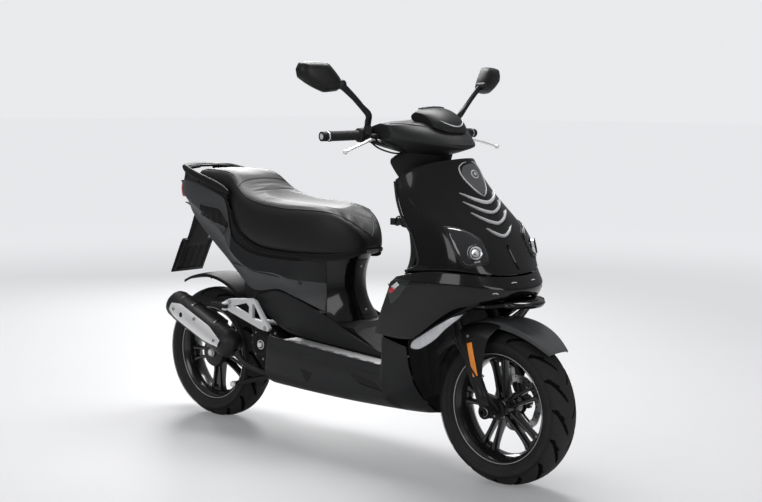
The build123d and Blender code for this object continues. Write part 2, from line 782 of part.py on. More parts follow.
# x, half width, bottom z, top z
SEAT = [(-714, 62, 884, 922), (-690, 92, 868, 930), (-600, 110, 842, 932),
        (-520, 120, 815, 930), (-466, 130, 785, 915), (-440, 142, 742, 892),
        (-380, 154, 694, 862), (-300, 158, 664, 845), (-200, 158, 657, 836),
        (-100, 150, 657, 832), (0, 135, 660, 820), (60, 121, 670, 790),
        (94, 108, 684, 750), (108, 96, 692, 722)]
# Right half of the grab rail's centre line
GRAB = [(-458, -147, 858), (-560, -139, 890), (-660, -130, 914), (-740, -106, 932),
        (-790, -60, 941), (-802, 0, 944)]
TANK_X, TANK_TOP = -520, 712
PEG_PIN_X, PEG_PIN_Y, PEG_PIN_R = -430, 190, 3


@part
def seat_tower():
    return panel(full_width(TOWER))


@part
def tail_panels():
    return both(panel(TAIL))


@part
def tail_light():
    return skin([[(-800, -66, 880), (-800, 66, 880), (-785, 66, 835), (-785, -66, 835)],
                 [(-770, -78, 878), (-770, 78, 878), (-755, 70, 820), (-755, -70, 820)]])


@part
def grab_rail():
    """Square-section rail with a drilled rack plate and a stay below it."""
    half_w, half_h = 9, 7
    path = GRAB + mirrored(GRAB[-2::-1])
    rings = []
    for k, (x, y, z) in enumerate(path):
        before = path[max(k - 1, 0)]
        after = path[min(k + 1, len(path) - 1)]
        tx, ty, _ = unit((after[0] - before[0], after[1] - before[1], 0))
        dx, dy = -ty * half_w, tx * half_w
        rings.append([(x + dx, y + dy, z - half_h), (x + dx, y + dy, z + half_h),
                      (x - dx, y - dy, z + half_h), (x - dx, y - dy, z - half_h)])
    rail = skin(rings) + box((-796, -730), (-48, 48), (934, 942))
    rail = rail + box((-735, -727), (-20, 20), (815, 942))
    for x in (-776, -746):
        for y in (-30, 30):
            rail = rail - rod((x, y, 930), (x, y, 955), 3.3)
    return rail


@part
def plate_holder():
    outline = [(-744, 772), (-800, 672), (-874, 534), (-866, 530), (-788, 668), (-736, 768)]
    holder = skin([ring(outline, y) for y in (-78, -30, 30, 78)])
    for y in (-40, 40):
        holder = holder - rod((-860, y, 590), (-800, y, 560), 3.2)
    return holder


@part
def storage_box():
    return (box((-312, -24), (-84, 84), (474, 640))
            - box((-304, -32), (-76, 76), (480, 650)))


@part
def fuel_tank():
    neck = rod((TANK_X, 0, TANK_TOP), (TANK_X, 0, TANK_TOP + 30), 26)
    return box((-580, -450), (-80, 80), (640, TANK_TOP)) + neck


@part
def fuel_cap():
    return rod((TANK_X, 0, TANK_TOP + 30.3), (TANK_X, 0, 758), 32)


@part
def pillion_brackets():
    outline = [(-306, 498), (-286, 492), (-214, 404), (-222, 392), (-262, 396), (-440, 446),
               (-444, 476), (-420, 486)]
    windows = [[(-300, 478), (-290, 478), (-250, 424), (-300, 430)],
               [(-330, 480), (-316, 468), (-318, 438), (-400, 462)]]
    brackets = []
    for side in SIDES:
        bracket = plate(outline, span(side, 168, 180))
        for window in windows:
            bracket = bracket - plate(window, span(side, 167, 181))
        # boss on the inner face
        bracket = bracket + across((-335, 484), span(side, 150, 168.5), 8)
        # hinge tabs and pin for the footpeg
        ys = span(side, 179, 197)
        hinge = box((-440, -422), ys, (466.5, 473)) + box((-440, -422), ys, (445, 451.5))
        hinge = hinge + upright((PEG_PIN_X, -PEG_PIN_Y), (446, 472), PEG_PIN_R, side)
        brackets.append(bracket + hinge)
    return brackets


@part_pair
def footpeg(side):
    return (box((-506, -424), span(side, 184, 196), (452, 466))
            - upright((PEG_PIN_X, -PEG_PIN_Y), (440, 480), PEG_PIN_R + FIT, side))


@part
def seat_cover():
    rings = []
    for x, w, bottom, top in SEAT:
        h = top - bottom
        half = [(0, bottom), (-(w - 8), bottom), (-w, bottom + 0.25 * h),
                (-(w - 3), bottom + 0.62 * h), (-(w - 16), bottom + 0.9 * h),
                (-w * 0.55, top), (0, top + 1)]
        rings.append([(x, y, z) for y, z in half] + [(x, -y, z) for y, z in half[-2:0:-1]])
    return skin(rings)


@part
def seat_base():
    rings = []
    for x, half_width, bottom, _ in SEAT[1:-1]:
        w = half_width - 24
        rings.append([(x, -w, bottom - 8), (x, w, bottom - 8),
                      (x, w, bottom - 1), (x, -w, bottom - 1)])
    return skin(rings)


# ---- engine unit ---------------------------------------------------------
# Radii about the crank and about the driven pulley
CASE_RADII = (84, 74)
CAVITY_RADII = (77, 67)
CRANK_R, PULLEY_SHAFT_R, KICK_R = 12, 10, 8
ENGINE_Y = (-50, 50)
CYLINDER_X = (-216, -66)


def stadium(radii, ys):
    """Two discs on the crank and pulley centres and the tangent body between."""
    r1, r2 = radii
    discs = across(CRANK, ys, r1) + across(PULLEY, ys, r2)
    dx, dz = PULLEY[0] - CRANK[0], PULLEY[1] - CRANK[1]
    lean = math.acos((r1 - r2) / math.hypot(dx, dz))
    upper = math.atan2(dz, dx) + lean
    lower = math.atan2(dz, dx) - lean
    return discs + plate([polar(CRANK, r1, upper), polar(PULLEY, r2, upper),
                          polar(PULLEY, r2, lower), polar(CRANK, r1, lower)], ys)


def add_pulley(shaft, centre, r):
    """Two cheeks and a core added to a shaft on the belt line."""
    return (shaft + across(centre, (92, 107), r) + across(centre, (107, 119), 34)
            + across(centre, (119, 132), r))


@part
def engine_case():
    """Crankcase with cylinder and transmission case, and the outer cover."""
    case = stadium(CASE_RADII, (75, 150)) - stadium(CAVITY_RADII, (86, 151))
    case = case + across(REAR_HUB, (75, 150), 52) - stadium(CAVITY_RADII, (86, 151))
    case = case + box((-360, -215), (-60, 75), (262, 400)) + across(CRANK, (-80, 75), 60)
    case = case + box(CYLINDER_X, ENGINE_Y, (308, 412))
    case = case + across(SWING, (-60, 60), 20) + box((-230, -190), (-60, 60), (255, 312))
    # lugs and pin of the centre stand
    lug = [(-262, 280), (-262, 222), (-278, 208), (-294, 222), (-300, 280)]
    for side in SIDES:
        case = case + plate(lug, span(side, 62, 70))
    case = case + box((-300, -262), (-70, -58), (266, 282))
    case = case + across(STAND, (-70, 70), 8)
    # air filter box above the transmission, and its post
    case = case + box((-560, -390), (80, 140), (372, 450))
    case = case + rod((-470, 110, 330), (-470, 110, 372), 12)
    # lower shock absorber bracket and pin
    bracket = [(-636, 300), (-566, 325), (-586, 388), (-612, 388), (-636, 330)]
    case = case + plate(bracket, (92, 104))
    case = case + across(SHOCK_EYE, (92, 134), 6)
    # shaft holes
    case = case - across(SWING, (-70, 70), 8 + FIT)
    case = case - across(CRANK, (-150, 149), CRANK_R + FIT)
    case = case - across(PULLEY, (80, 149), PULLEY_SHAFT_R + FIT)
    case = case - across(REAR_HUB, (70, 85), REAR_SHAFT_R + FIT)
    # clear what the later additions left in the belt cavity
    case = case - stadium(CAVITY_RADII, (86, 150.5))
    cover = stadium(CASE_RADII, (150.2, 166)) + across(REAR_HUB, (150.2, 160), 50)
    return [largest(case), cover - across(KICK, (150, 167), KICK_R + FIT)]


@part
def fan_cover():
    """Cup over the fan with two rings of arc slots and a centre boss."""
    x, z = CRANK
    cover = across(CRANK, (-150, -81), 74) - across(CRANK, (-144, -80), 66)
    for inner, outer in ((44, 52), (28, 36)):
        slots = (across(CRANK, (-151, -143), outer) - across(CRANK, (-152, -142), inner)
                 - box((x - 80, x + 80), (-153, -141), (z - 5, z + 5))
                 - box((x - 5, x + 5), (-153, -141), (z - 80, z + 80)))
        cover = cover - slots
    return cover + across(CRANK, (-158, -149), 12)


@part
def crank_fan():
    """Crankshaft with the fan on the right and the drive pulley on the left."""
    crank = across(CRANK, (-138, 136), CRANK_R) + across(CRANK, (-128, -100), 58)
    crank = add_pulley(crank, CRANK, 52)
    for k in range(8):
        crank = crank + wedge(CRANK, math.radians(45 * k), (30, .05), (56, .05), (-136, -127))
    return crank


@part
def driven_pulley():
    return add_pulley(across(PULLEY, (80.5, 136), PULLEY_SHAFT_R), PULLEY, 54)


@part
def drive_belt():
    return stadium((45, 45), (108, 118)) - stadium((35, 35), (107, 119))


MUFFLER_FRONT, MUFFLER_BACK = (-412, -160, 306), (-745, -160, 440)
MUFFLER_DIRECTION = unit(sub(MUFFLER_BACK, MUFFLER_FRONT))


@part
def muffler():
    can = rod(MUFFLER_FRONT, MUFFLER_BACK, 52)
    can = can + rod(MUFFLER_BACK, along(MUFFLER_BACK, MUFFLER_DIRECTION, 14), 40)
    pipe = tube([(-85, -30, 300), (-85, -45, 244), (-128, -97, 240), (-260, -116, 230),
                 (-340, -138, 243), (-386, -156, 264),
                 (MUFFLER_FRONT[0] + 14, -160, MUFFLER_FRONT[2] - 6)], 11)
    return (can + pipe) - box(CYLINDER_X, ENGINE_Y, (307.5, 412))


@part
def muffler_shield():
    # (distance back along the can, height above its axis)
    outline = [(10, -34), (60, -40), (290, -40), (330, 6), (270, 38), (70, 38), (30, 20)]
    up_x, up_z = 0.372, 0.928
    x, _, z = MUFFLER_FRONT
    back_x, _, back_z = MUFFLER_DIRECTION
    return plate([(x + back_x * a + up_x * b, z + back_z * a + up_z * b) for a, b in outline],
                 (-222, -213))


@part
def rear_mudguard():
    return spin([(286, -74), (297, -70), (301, 0), (297, 70), (286, 74), (283, 74), (293, 68),
                 (297.5, 0), (293, -68), (283, -74)], REAR_HUB, 82, 36)


@part
def kick_lever():
    return (across(KICK, (150.5, 184), KICK_R) + across(KICK, (167, 184), 14)
            + tube([(KICK[0], 178, KICK[1]), (-520, 184, 318), (-560, 190, 334)], 7)
            + across((-560, 334), (186, 226), 9))


@part
def center_stand():
    x, z = STAND
    foot = (x - 176, 166)
    stand = across(STAND, (-58, 58), 13, 8 + FIT)
    for side in SIDES:
        stand = stand + tube([(x - 14, side * 52, z - 4), (x - 150, side * 104, 176),
                              (foot[0], side * 118, foot[1])], 9)
        stand = stand + across(foot, (side * 100, side * 136), 11)
    return stand - across(STAND, (-60, 60), 8 + FIT)


# ---- shock absorber ------------------------------------------------------
def shock_rod(z0, z1, r, bore=0.0):
    return rod((SHOCK_X, SHOCK_Y, z0), (SHOCK_X, SHOCK_Y, z1), r, bore)


@part
def shock_upper():
    """Top eye, spring seat and piston rod."""
    upper = across(SHOCK_TOP, (108, 132), 15)
    upper = upper + shock_rod(SHOCK_TOP_Z - 14, SHOCK_TOP_Z - 30, 30)
    upper = upper + shock_rod(SHOCK_TOP_Z - 28, 505, 9)
    return upper - across(SHOCK_TOP, (100, 140), 6 + FIT)


@part
def shock_lower():
    """Bottom eye, damper body and spring seat."""
    lower = across(SHOCK_EYE, (108, 132), 15)
    lower = lower + shock_rod(SHOCK_EYE_Z + 12, SHOCK_EYE_Z + 178, 14)
    lower = lower + shock_rod(SHOCK_EYE_Z + 26, SHOCK_EYE_Z + 32, 30)
    lower = lower - across(SHOCK_EYE, (100, 140), 8.2)
    return lower - shock_rod(440, 600, 9 + FIT)


@part
def shock_spring():
    """The spring as a plain sleeve."""
    return shock_rod(SHOCK_EYE_Z + 32.5, SHOCK_TOP_Z - 30.5, 29, 18)


# ---- export --------------------------------------------------------------
def solids_of(item):
    """All solids of a shape or of nested lists of shapes."""
    if isinstance(item, (list, tuple)):
        return [solid for shape in item for solid in solids_of(shape)]
    return list(item.solids())


os.makedirs("parts", exist_ok=True)
for name, build in BUILDERS.items():
    solids = solids_of(build())
    shape = Compound(children=solids) if len(solids) > 1 else solids[0]
    export_step(shape, "parts/" + name + ".step")
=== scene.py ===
# Moped scooter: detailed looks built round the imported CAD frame.
# Points are in millimetres in the row frame: +X forward, +Y left, +Z up, ground at z = 0.
# Tables hold the right-hand (negative y) piece; the left-hand one is its mirror image.
import bpy
import bmesh
import json
import math
import random
from contextlib import contextmanager
import numpy as np
from mathutils import Matrix, Vector
from mathutils.bvhtree import BVHTree

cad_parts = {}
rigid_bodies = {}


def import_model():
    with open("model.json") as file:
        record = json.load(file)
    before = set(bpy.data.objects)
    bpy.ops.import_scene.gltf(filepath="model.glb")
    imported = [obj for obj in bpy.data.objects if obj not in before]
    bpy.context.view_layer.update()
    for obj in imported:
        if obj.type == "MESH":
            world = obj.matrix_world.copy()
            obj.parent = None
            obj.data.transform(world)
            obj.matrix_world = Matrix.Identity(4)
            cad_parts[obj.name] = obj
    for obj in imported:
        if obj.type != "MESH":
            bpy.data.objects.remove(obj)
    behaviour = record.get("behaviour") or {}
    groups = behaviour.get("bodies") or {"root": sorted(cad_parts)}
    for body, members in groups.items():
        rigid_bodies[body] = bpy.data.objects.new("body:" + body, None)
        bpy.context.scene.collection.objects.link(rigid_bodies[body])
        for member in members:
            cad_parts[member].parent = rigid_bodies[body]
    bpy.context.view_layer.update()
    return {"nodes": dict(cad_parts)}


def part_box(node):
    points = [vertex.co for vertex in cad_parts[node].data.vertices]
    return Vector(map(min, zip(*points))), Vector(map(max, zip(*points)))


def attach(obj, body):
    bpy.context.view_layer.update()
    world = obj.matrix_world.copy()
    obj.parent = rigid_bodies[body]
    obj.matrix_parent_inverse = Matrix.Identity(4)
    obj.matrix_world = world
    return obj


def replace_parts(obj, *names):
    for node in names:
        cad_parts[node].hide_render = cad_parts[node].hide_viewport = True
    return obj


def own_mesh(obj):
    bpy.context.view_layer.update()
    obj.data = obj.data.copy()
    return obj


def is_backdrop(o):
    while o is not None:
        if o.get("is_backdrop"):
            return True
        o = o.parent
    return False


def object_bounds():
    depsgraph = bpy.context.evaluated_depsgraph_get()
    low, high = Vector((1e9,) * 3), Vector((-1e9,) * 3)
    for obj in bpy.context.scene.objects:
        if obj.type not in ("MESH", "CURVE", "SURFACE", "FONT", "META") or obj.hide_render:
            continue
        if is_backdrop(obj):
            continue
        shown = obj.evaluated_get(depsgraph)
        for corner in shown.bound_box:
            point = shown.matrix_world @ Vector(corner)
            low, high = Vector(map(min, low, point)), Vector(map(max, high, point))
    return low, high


for old in list(bpy.data.objects):
    bpy.data.objects.remove(old)
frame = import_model()
random.seed(7)

MM = 0.001
SIDES = ((1, "r"), (-1, "l"))           # side factor and name ending
FRONT_X, REAR_X = 670.0, -670.0         # wheel axles
TYRE_R = 243.0                          # tyre radius, so also the axle height
RAKE_SIN, RAKE_COS = math.sin(math.radians(25)), math.cos(math.radians(25))
BACKWARD = (-1, 0, 0)


# ------------------------------------------------------------------ materials
def feed(tree, made, inputs):
    """Link the inputs given as sockets and set the others."""
    for name, value in inputs.items():
        if isinstance(value, bpy.types.NodeSocket):
            tree.links.new(value, made.inputs[name])
        else:
            made.inputs[name].default_value = value
    return made


def node(tree, kind, inputs={}, **settings):
    made = tree.nodes.new("ShaderNode" + kind)
    for name, value in settings.items():
        setattr(made, name, value)
    return feed(tree, made, inputs)


def material(name, base, rough=0.5, metal=0.0, coat=0.0, spec=0.5, vary=0.15, rough_vary=0.12,
             scale=40.0, stretch=None, bump=0.0, bump_scale=900.0, leather=False, glow=None,
             dust=0.0):
    """Mottled surface: vary and rough_vary are shares of base and rough, scale is the noise's."""
    made = bpy.data.materials.new(name)
    made.use_nodes = True
    tree = made.node_tree
    shader = tree.nodes["Principled BSDF"]
    feed(tree, shader, {"Metallic": metal, "Specular IOR Level": spec, "Coat Weight": coat,
                        "Coat Roughness": 0.04})
    plain = node(tree, "TexCoord").outputs["Object"]
    where = plain
    if stretch:
        where = node(tree, "Mapping", {"Scale": stretch, "Vector": plain}).outputs["Vector"]
    mottle = node(tree, "TexNoise",
                  {"Scale": scale, "Detail": 5.0, "Roughness": 0.6, "Vector": where})
    colour = node(tree, "Mix", {
        "A": (*[max(0, c * (1 - vary)) for c in base], 1),
        "B": (*[min(1, c * (1 + vary)) for c in base], 1),
        "Factor": mottle.outputs["Fac"]}, data_type="RGBA").outputs["Result"]
    if dust > 0:
        colour = dusted(tree, colour, plain, dust)
    patches = node(tree, "TexNoise", {"Scale": scale * 0.35, "Detail": 6.0, "Vector": where})
    spread = node(tree, "MapRange", {
        "To Min": max(0.02, rough * (1 - rough_vary)),
        "To Max": min(1.0, rough * (1 + rough_vary)),
        "Value": patches.outputs["Fac"]})
    feed(tree, shader, {"Base Color": colour, "Roughness": spread.outputs["Result"]})
    if bump > 0:
        if leather:
            height = node(tree, "TexVoronoi", {"Scale": bump_scale, "Vector": where},
                          feature="DISTANCE_TO_EDGE").outputs["Distance"]
        else:
            height = node(tree, "TexNoise", {"Scale": bump_scale, "Detail": 3.0,
                                             "Vector": where}).outputs["Fac"]
        relief = node(tree, "Bump", {"Strength": bump, "Distance": 0.0006, "Height": height})
        feed(tree, shader, {"Normal": relief.outputs["Normal"]})
    if glow:
        feed(tree, shader, {"Emission Color": (*glow[:3], 1), "Emission Strength": glow[3]})
    return made


def dusted(tree, colour, where, amount):
    """Patchy dust that fades out 0.32 m above the ground."""
    place = node(tree, "NewGeometry").outputs["Position"]
    height = node(tree, "SeparateXYZ", {"Vector": place}).outputs["Z"]
    low = node(tree, "MapRange",
               {"From Min": 0.32, "From Max": 0.0, "To Max": amount, "Value": height})
    patches = node(tree, "TexNoise", {"Scale": 14.0, "Detail": 8.0, "Vector": where})
    share = node(tree, "Math", {0: low.outputs["Result"], 1: patches.outputs["Fac"]},
                 operation="MULTIPLY")
    return node(tree, "Mix", {"A": colour, "B": (0.16, 0.15, 0.14, 1),
                              "Factor": share.outputs[0]}, data_type="RGBA").outputs["Result"]


def knurled(made, scale, strength):
    """Raised lozenge tread for the foot strips."""
    tree = made.node_tree
    where = node(tree, "TexCoord").outputs["Object"]
    cells = node(tree, "TexVoronoi", {"Scale": scale, "Randomness": 0.35, "Vector": where},
                 distance="MANHATTAN")
    ramp = node(tree, "ValToRGB", {"Fac": cells.outputs["Distance"]})
    ramp.color_ramp.elements[0].position = 0.25
    ramp.color_ramp.elements[1].position = 0.55
    relief = node(tree, "Bump", {"Strength": strength, "Distance": 0.002,
                                 "Height": ramp.outputs["Color"]})
    feed(tree, tree.nodes["Principled BSDF"], {"Normal": relief.outputs["Normal"]})
    return made


M = {
    "gloss": material("gloss_black_paint", (0.0032, 0.0032, 0.0036), rough=0.19, coat=0.60,
                      vary=0.25, scale=8, spec=0.16),
    "satin": material("satin_grey_plastic", (0.0155, 0.016, 0.017), rough=0.46, vary=0.10,
                      rough_vary=0.15, scale=60, bump=0.06, spec=0.28),
    # lighter copy of the satin grey: its extra lightness is a painted highlight on lit surfaces
    "satin_highlight": material("satin_grey_painted_highlight", (0.062, 0.064, 0.066), rough=0.42, vary=0.10,
                       rough_vary=0.15, scale=60, bump=0.06, spec=0.32),
    "badge": material("badge_grey_metallic", (0.095, 0.096, 0.10), rough=0.34, metal=0.2,
                      coat=0.3, vary=0.12),
    # near-black rubber for the groove faces: painted shade in the tread grooves
    "tyre_groove": material("tyre_groove_painted_shade", (0.003, 0.003, 0.003), rough=0.9, vary=0.2,
                            scale=60, spec=0.1),
    "dark": material("dark_satin_plastic", (0.0095, 0.0098, 0.0102), rough=0.40, vary=0.12,
                     scale=60, bump=0.05, spec=0.28),
    "matte": material("matte_black_plastic", (0.0065, 0.0065, 0.007), rough=0.58, vary=0.2,
                      scale=50, bump=0.10, spec=0.25),
    # black for holes, slots, gaps and closing sheets, which is painted shade; also used for one
    # dark seam line
    "shade_seam_black": material("painted_shade_seam_black", (0.003, 0.003, 0.003), rough=0.75, vary=0.2, bump=0.05),
    "vinyl": material("seat_vinyl_black", (0.0075, 0.0075, 0.008), rough=0.50, vary=0.12,
                      rough_vary=0.1, scale=30, bump=0.22, bump_scale=520, leather=True,
                      spec=0.34),
    "tyre": material("tyre_rubber", (0.021, 0.021, 0.0215), rough=0.72, vary=0.25, scale=90,
                     bump=0.15, spec=0.25, dust=0.18),
    "rubber": material("black_rubber", (0.011, 0.011, 0.011), rough=0.68, vary=0.2, scale=60,
                       bump=0.2, bump_scale=1400, spec=0.35),
    "wheel": material("wheel_black_paint", (0.020, 0.020, 0.021), rough=0.24, metal=0.55,
                      coat=0.7, vary=0.2, scale=20),
    "dmetal": material("dark_coated_metal", (0.012, 0.012, 0.0125), rough=0.45, metal=0.25,
                       vary=0.2, scale=70, bump=0.14),
    "cast": material("cast_alloy", (0.78, 0.79, 0.80), rough=0.46, metal=0.30, vary=0.12,
                     scale=90, bump=0.25, bump_scale=1100),
    "bright": material("brushed_alloy", (0.90, 0.90, 0.90), rough=0.36, metal=0.45, vary=0.10,
                       scale=60, bump=0.10, bump_scale=500, stretch=(1, 12, 1)),
    "silver": material("silver_paint", (0.62, 0.62, 0.63), rough=0.34, metal=0.25, coat=0.3,
                       vary=0.08),
    "fin": material("grey_metallic_fin", (0.52, 0.52, 0.53), rough=0.36, metal=0.15, coat=0.4,
                    vary=0.12),
    "steel": material("steel", (0.46, 0.46, 0.47), rough=0.28, metal=1.0, vary=0.14, scale=80,
                      bump=0.08, bump_scale=700),
    "disc": material("disc_steel", (0.50, 0.50, 0.50), rough=0.30, metal=1.0, vary=0.12,
                     scale=120, bump=0.1, bump_scale=1000, stretch=(1, 1, 1)),
    "chrome": material("mirror_glass", (0.82, 0.84, 0.86), rough=0.03, metal=1.0, vary=0.02,
                       rough_vary=0.3, scale=10),
    # the amber reflector's emission is a painted glow, standing in for reflected light
    "amber": material("amber_reflector_painted_glow", (0.85, 0.26, 0.02), rough=0.22, coat=0.7, scale=160,
                      bump=0.5, bump_scale=420, glow=(0.9, 0.28, 0.02, 0.12)),
    "red": material("red_lens", (0.42, 0.012, 0.014), rough=0.14, coat=1.0, vary=0.2,
                    scale=120, bump=0.35, bump_scale=300),
    "lens": material("ribbed_clear_lens", (0.62, 0.63, 0.65), rough=0.22, metal=0.25, coat=0.8,
                     vary=0.25, scale=90, bump=0.6, bump_scale=240, stretch=(1, 1, 0.25)),
    "hlens": material("headlight_smoked_lens", (0.010, 0.010, 0.012), rough=0.06, coat=1.0,
                      vary=0.3, scale=12),
    "reflector": material("lamp_reflector", (0.80, 0.82, 0.84), rough=0.22, metal=0.55,
                          vary=0.1, scale=30, bump=0.2, bump_scale=120),
    "belt": material("belt_rubber", (0.02, 0.02, 0.02), rough=0.7, vary=0.2, bump=0.2),
    "accw": material("accent_white", (0.75, 0.75, 0.75), rough=0.3, coat=0.6, vary=0.06),
    "accr": material("accent_red", (0.52, 0.012, 0.03), rough=0.3, coat=0.6, vary=0.1),
    "inset": material("dark_green_inset", (0.010, 0.016, 0.011), rough=0.28, coat=0.5,
                      vary=0.3, scale=25, bump=0.1, bump_scale=600),
    "screen": material("dash_screen", (0.012, 0.014, 0.016), rough=0.08, coat=1.0, vary=0.3),
    "tread": knurled(material("tread_strip_alloy", (0.46, 0.46, 0.465), rough=0.40, metal=0.4,
                              vary=0.3, scale=120), scale=95.0, strength=0.9),
}


# ------------------------------------------------------------------ points
def sided(shape, side):
    """A right-hand point, or nested lists of them, on side 1 (right) or -1 (left)."""
    if np.isscalar(shape[0]):
        return (shape[0], shape[1] * side, shape[2])
    return [sided(part, side) for part in shape]


def mirrored(rows):
    """Half rows that start at the middle, made whole."""
    return [sided(row[:0:-1], -1) + list(row) for row in rows]


def turn(count):
    """Evenly spaced angles round a full turn."""
    return [2 * math.pi * k / count for k in range(count)]


def around(x, z, radius, angle, y):
    """Point on a circle in an upright fore-and-aft plane."""
    return (x + radius * math.cos(angle), y, z + radius * math.sin(angle))


def spline(points, steps=10):
    """Smooth path through the points."""
    knots = [np.array(p, float) for p in points]
    knots = [2 * knots[0] - knots[1]] + knots + [2 * knots[-1] - knots[-2]]
    path = []
    for i in range(1, len(knots) - 2):
        a, b, c, d = knots[i - 1:i + 3]
        for k in range(steps):
            t = k / steps
            path.append(0.5 * ((2 * b) + (c - a) * t + (2 * a - 5 * b + 4 * c - d) * t * t
                               + (3 * b - a - 3 * c + d) * t ** 3))
    path.append(knots[-2])
    return path


def smooth_outline(outline, steps):
    """Closed smooth version of a flat outline."""
    return [(p[0], p[1]) for p in spline([(a, b, 0) for a, b in outline + outline[:1]], steps)[:-1]]


def heading(path, i):
    step = path[min(i + 1, len(path) - 1)] - path[max(i - 1, 0)]
    return step / (np.linalg.norm(step) + 1e-12)


# ------------------------------------------------------------------ mesh pieces
@contextmanager
def edited(mesh):
    edit = bmesh.new()
    edit.from_mesh(mesh)
    yield edit
    edit.to_mesh(mesh)
    edit.free()


def mesh_mm(name, verts, faces):
    mesh = bpy.data.meshes.new(name)
    mesh.from_pydata([tuple(c * MM for c in v) for v in verts], [], faces)
    return mesh


def add(name, mesh, mat, body, smooth=True):
    mesh.polygons.foreach_set("use_smooth", [smooth] * len(mesh.polygons))
    mesh.materials.append(M[mat])
    piece = bpy.data.objects.new(name, mesh)
    bpy.context.scene.collection.objects.link(piece)
    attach(piece, body)
    return piece


def mark(piece, replaced=None, side=1):
    """From the right-hand piece of a pair, hide the CAD piece replaced."""
    if replaced and side > 0:
        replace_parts(piece, replaced)


def mods(piece, sub=0, solid=0.0, bevel=0.0, seg=2, angle=35):
    if sub:
        mod = piece.modifiers.new("sub", "SUBSURF")
        mod.levels = mod.render_levels = sub
        mod.boundary_smooth = "PRESERVE_CORNERS"
    if solid:
        mod = piece.modifiers.new("solid", "SOLIDIFY")
        mod.thickness = solid * MM
        mod.offset = -1.0
        mod.use_even_offset = True
        mod.thickness_clamp = 1.0
    if bevel:
        mod = piece.modifiers.new("bevel", "BEVEL")
        mod.width = bevel * MM
        mod.segments = seg
        mod.limit_method = "ANGLE"
        mod.angle_limit = math.radians(angle)
    return piece


def crease(mesh, count, rows, cols, weight):
    """Harden whole rows and columns of a mesh laid out count points to the row."""
    creases = mesh.attributes.new("crease_edge", "FLOAT", "EDGE")
    for edge in mesh.edges:
        (row_a, col_a), (row_b, col_b) = [divmod(v, count) for v in edge.vertices]
        if (row_a == row_b and row_a in rows) or (col_a == col_b and col_a in cols):
            creases.data[edge.index].value = weight


def ring_faces(rings, count, loop=False, open_ring=False, caps=0):
    """Quads joining rings of count points; caps is 0 or the turning sense of the first end."""
    faces = [(i * count + k, i * count + (k + 1) % count,
              (i + 1) % rings * count + (k + 1) % count, (i + 1) % rings * count + k)
             for i in range(rings if loop else rings - 1)
             for k in range(count - 1 if open_ring else count)]
    if caps:
        faces += [tuple(range(count))[::caps],
                  tuple(range((rings - 1) * count, rings * count))[::-caps]]
    return faces


def solid(name, verts, faces, mat, body, smooth=True):
    mesh = mesh_mm(name, verts, faces)
    mesh.validate()
    with edited(mesh) as edit:
        bmesh.ops.recalc_face_normals(edit, faces=edit.faces)
    return add(name, mesh, mat, body, smooth)


def panel(name, rows, mat, body="chassis", thick=3.0, sub=3, hard_rows=(), hard_cols=(),
          hardness=0.8, away=(0, 0, 0), bevel=0.7):
    """Body panel from a control grid, its outer face turned from the point away."""
    count = len(rows[0])
    faces = [(i * count + j, (i + 1) * count + j, (i + 1) * count + j + 1, i * count + j + 1)
             for i in range(len(rows) - 1) for j in range(count - 1)]
    mesh = mesh_mm(name, [p for row in rows for p in row], faces)
    if sum(f.normal.dot(f.center - Vector(away) * MM) * f.area for f in mesh.polygons) < 0:
        mesh.flip_normals()
    crease(mesh, count, hard_rows, hard_cols, hardness)
    return mods(add(name, mesh, mat, body), sub=sub, solid=thick, bevel=bevel)


def skin(name, rings, mat, body="chassis", sub=2, hard_rows=(), hard_cols=(), hardness=0.8,
         bevel=0.0):
    """Closed skin over a row of rings."""
    count = len(rings[0])
    piece = solid(name, [p for ring in rings for p in ring],
                  ring_faces(len(rings), count, caps=1), mat, body)
    crease(piece.data, count, hard_rows, hard_cols, hardness)
    return mods(piece, sub=sub, bevel=bevel)


def tube(name, points, radius, mat, body="chassis", steps=10, seg=20, straight=False,
         radii=None, flat=(1, 1)):
    """Round bar along a path; radii may vary along it, flat squashes it (across, up)."""
    path = [np.array(p, float) for p in points] if straight else spline(points, steps)
    last = len(path) - 1
    verts = []
    across = None
    for i, spot in enumerate(path):
        ahead = heading(path, i)
        if across is None:
            across = np.cross([0.0, 0.0, 1.0] if abs(ahead[2]) < 0.9 else [1.0, 0, 0], ahead)
        else:
            across = across - ahead * np.dot(across, ahead)
        across = across / np.linalg.norm(across)
        up = np.cross(ahead, across)
        here = radius
        if radii is not None:
            along = i / last * (len(radii) - 1)
            k = min(int(along), len(radii) - 2)
            here = radii[k] + (radii[k + 1] - radii[k]) * (along - k)
        for a in turn(seg):
            verts.append(tuple(spot + across * math.cos(a) * here * flat[0]
                               + up * math.sin(a) * here * flat[1]))
    piece = solid(name, verts, ring_faces(len(path), seg, caps=-1), mat, body)
    return mods(piece, bevel=min(1.0, radius * 0.2), angle=50)


def lathe(name, profile, mat, body, origin, axis=(0, 1, 0), seg=96, closed=False):
    """Profile of (radius, along) pairs turned about the axis through origin."""
    axis = Vector(axis).normalized()
    start = Vector((1, 0, 0)) if abs(axis.x) < 0.9 else Vector((0, 0, 1))
    across = (start - axis * start.dot(axis)).normalized()
    up = axis.cross(across)
    verts = []
    for a in turn(seg):
        for radius, along in profile:
            verts.append(tuple(Vector(origin) + axis * along
                               + (across * math.cos(a) + up * math.sin(a)) * radius))
    faces = ring_faces(seg, len(profile), loop=True, open_ring=not closed)
    piece = solid(name, verts, faces, mat, body)
    with edited(piece.data) as edit:
        bmesh.ops.remove_doubles(edit, verts=edit.verts, dist=1e-6)
        bmesh.ops.recalc_face_normals(edit, faces=edit.faces)
    # mark hard edges so that flats and rounds both read cleanly
    with edited(piece.data) as edit:
        for edge in edit.edges:
            if len(edge.link_faces) == 2 and edge.calc_face_angle(0) > math.radians(38):
                edge.smooth = False
    return piece


